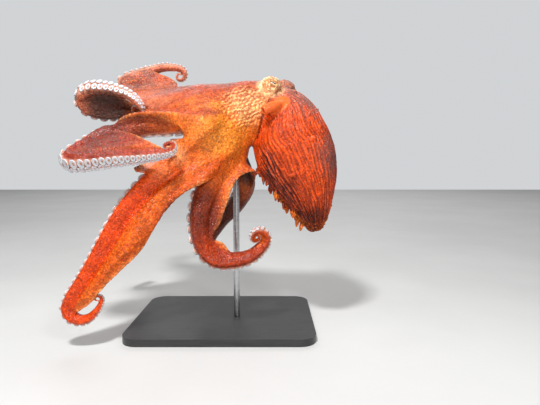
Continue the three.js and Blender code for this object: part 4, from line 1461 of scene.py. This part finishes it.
def sucker_material(mottling):
    material, board, shader = new_material(
        "sucker flesh", Coat_Weight=0.5, Coat_Roughness=0.14, Subsurface_Weight=0.1,
        Subsurface_Radius=(1.0, 0.5, 0.35), Subsurface_Scale=0.004,
    )
    patches = board.use(mottling, Place=board.here(), Broad_Scale=60.0, Fine_Scale=600.0)
    cup = board.read("cup")
    colour = board.blend(board.step(cup, 0.4, 0.8), (0.60, 0.25, 0.15), (0.62, 0.66, 0.71))
    colour = board.blend(board.step(cup, 0.3, 0.05), colour, (0.62, 0.36, 0.27))
    colour = board.blend(board.times(patches["Broad"], 0.3), colour, (0.74, 0.52, 0.45))
    finish_surface(board, shader, colour, board.spread(patches["Fine"], 0.26, 0.42))
    bumped(board, shader, patches["Fine"], 0.25, 0.0006)
    return material


def eye_material(mottling):
    material, board, shader = new_material("octopus eye", Coat_Weight=1.0, Coat_Roughness=0.03)
    patches = board.use(mottling, Place=board.here(), Broad_Scale=300.0, Fine_Scale=1500.0)
    narrow = board.absolute(board.read("pupil_across"))
    long = board.absolute(board.read("pupil_along"))
    slit = board.times(board.step(narrow, 0.17, 0.11), board.step(long, 0.62, 0.5))
    iris = board.blend(patches["Broad"], (0.52, 0.33, 0.12), (0.85, 0.68, 0.36))
    iris = board.blend(board.times(board.step(narrow, 0.5, 0.2), 0.45), iris, (0.9, 0.82, 0.6))
    iris = board.blend(board.step(board.read("pupil_out"), 0.5, 0.2), iris, (0.5, 0.36, 0.28))
    colour = board.blend(slit, iris, (0.008, 0.007, 0.008))
    finish_surface(board, shader, colour, board.spread(patches["Fine"], 0.14, 0.26))
    return material


def plate_material(mottling):
    """Satin black lacquer over open-grained wood."""
    material, board, shader = new_material("black lacquered wood", Coat_Weight=0.25, Coat_Roughness=0.3)
    here = board.here()
    along_grain = board.stretched(here, (0.08, 1.0, 1.0))
    grain = board.use(mottling, Place=along_grain, Broad_Scale=160.0, Fine_Scale=900.0)
    wear = board.use(mottling, Place=here, Broad_Scale=9.0, Fine_Scale=260.0)
    colour = board.blend(grain["Broad"], (0.012, 0.012, 0.013), (0.026, 0.025, 0.025))
    colour = board.blend(board.times(wear["Broad"], 0.3), colour, (0.034, 0.034, 0.036))
    finish_surface(board, shader, colour, board.spread(wear["Broad"], 0.34, 0.48))
    bumped(board, shader, grain["Broad"], 0.15, 0.0004)
    return material


def rod_material(mottling):
    """Steel brushed round the bar."""
    material, board, shader = new_material("brushed steel bar", Metallic=1.0)
    pressed = board.stretched(board.here(), (0.1, 0.1, 1.0))
    lines = board.use(mottling, Place=pressed, Broad_Scale=500.0, Fine_Scale=2600.0)
    colour = board.blend(lines["Broad"], (0.50, 0.50, 0.51), (0.66, 0.66, 0.67))
    finish_surface(board, shader, colour, board.spread(lines["Fine"], 0.24, 0.4))
    bumped(board, shader, lines["Fine"], 0.12, 0.0002)
    return material


def floor_material(mottling):
    material, board, shader = new_material("pale floor")
    patches = board.use(mottling, Place=board.here(), Broad_Scale=2.0, Fine_Scale=60.0)
    colour = board.blend(patches["Broad"], (0.66, 0.66, 0.65), (0.70, 0.70, 0.69))
    finish_surface(board, shader, colour, board.spread(patches["Fine"], 0.6, 0.7))
    return material


# ---- Stage, lights and camera, in metres and watts ----
LIGHTS = {  # where, what it is aimed at if not the middle of the solids, its size and its power
    "key": ((-0.3, -1.1, 2.0), None, 0.24, 43),
    "fill": ((0.8, -1.5, 1.3), None, 0.3, 8),
    "front": ((0.0, -1.9, 0.6), None, 0.25, 7),
    "back": ((-0.9, 1.6, 1.5), None, 1.2, 3),
    "overhead": ((0.1, 2.0, 3.4), (0.1, 1.8, 0.0), 3.5, 26),
    "far": ((0.1, 5.0, 4.0), (0.1, 5.2, 0.0), 6.0, 130),
}
ROOM_LIGHT = (0.22, 0.74)  # its strength on the model, and where the room itself is seen
CAMERA = {"at": (0.120, -1.170, 0.421), "tilt": 85, "lens": 30, "sensor": 36}


def build_stage():
    bm = bmesh.new()
    bmesh.ops.create_grid(bm, x_segments=1, y_segments=1, size=6)
    floor = shown("floor", mesh_of("floor", bm))
    return floor


def area_light(name, at, aim, size, power):
    data = bpy.data.lights.new(name, "AREA")
    data.size = size
    data.energy = power
    lamp = bpy.data.objects.new(name, data)
    lamp.location = at
    lamp.rotation_euler = (Vector(aim) - Vector(at)).to_track_quat("-Z", "Y").to_euler()
    bpy.context.scene.collection.objects.link(lamp)


def build_lights():
    low, high = CAD_BOX
    middle = (low + high) / 2
    for name, (at, aim, size, power) in LIGHTS.items():
        area_light(name, at, aim or middle, size, power)
    world = bpy.data.worlds.new("studio")
    world.use_nodes = True
    board = Board(world.node_tree)
    background = world.node_tree.nodes["Background"]
    seen = board.add("LightPath").outputs["Is Camera Ray"]
    board.feed(background.inputs["Color"], (0.86, 0.88, 0.9))
    board.feed(background.inputs["Strength"], board.spread(seen, *ROOM_LIGHT))
    bpy.context.scene.world = world


def build_camera():
    data = bpy.data.cameras.new("camera")
    data.lens = CAMERA["lens"]
    data.sensor_width = CAMERA["sensor"]
    camera = bpy.data.objects.new("camera", data)
    camera.location = CAMERA["at"]
    camera.rotation_euler = (math.radians(CAMERA["tilt"]), 0, 0)
    bpy.context.scene.collection.objects.link(camera)
    bpy.context.scene.camera = camera


def dress(piece, material):
    piece.data.materials.clear()
    piece.data.materials.append(material)


def dress_node(name, material, edge):
    """Gives a solid its finish, with a small rounded edge."""
    piece = bpy.data.objects[name]
    for slot in piece.material_slots:
        slot.material = material
    bevel = piece.modifiers.new("softened edges", "BEVEL")
    bevel.width = edge
    bevel.segments = 3
    bevel.limit_method = "ANGLE"
    bevel.angle_limit = math.radians(50)


FLESH = [name for name in frame["nodes"] if not name.startswith(("stand_", "eye_"))]

bpy.context.scene.view_settings.view_transform = "Standard"
build_camera()
build_lights()
mottling = mottling_group()
wrinkles = wrinkle_group()
ridges = ridge_group()
dress(build_stage(), floor_material(mottling))

skin = build_skin()
dress(skin, skin_material(mottling, wrinkles, ridges))
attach(skin, "root")
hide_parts(*FLESH)

sucker_look = sucker_material(mottling)
for side in ("left", "right"):
    suckers = build_suckers("suckers_" + side, [side[0] + number for number in "1234"])
    dress(suckers, sucker_look)
    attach(suckers, "root")

eye_look = eye_material(mottling)
for side in EYES:
    eyeball = build_eye(side)
    dress(eyeball, eye_look)
    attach(eyeball, "root")
    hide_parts("eye_" + side)

dress_node("stand_base", plate_material(mottling), 0.0015)
dress_node("stand_rod", rod_material(mottling), 0.0006)
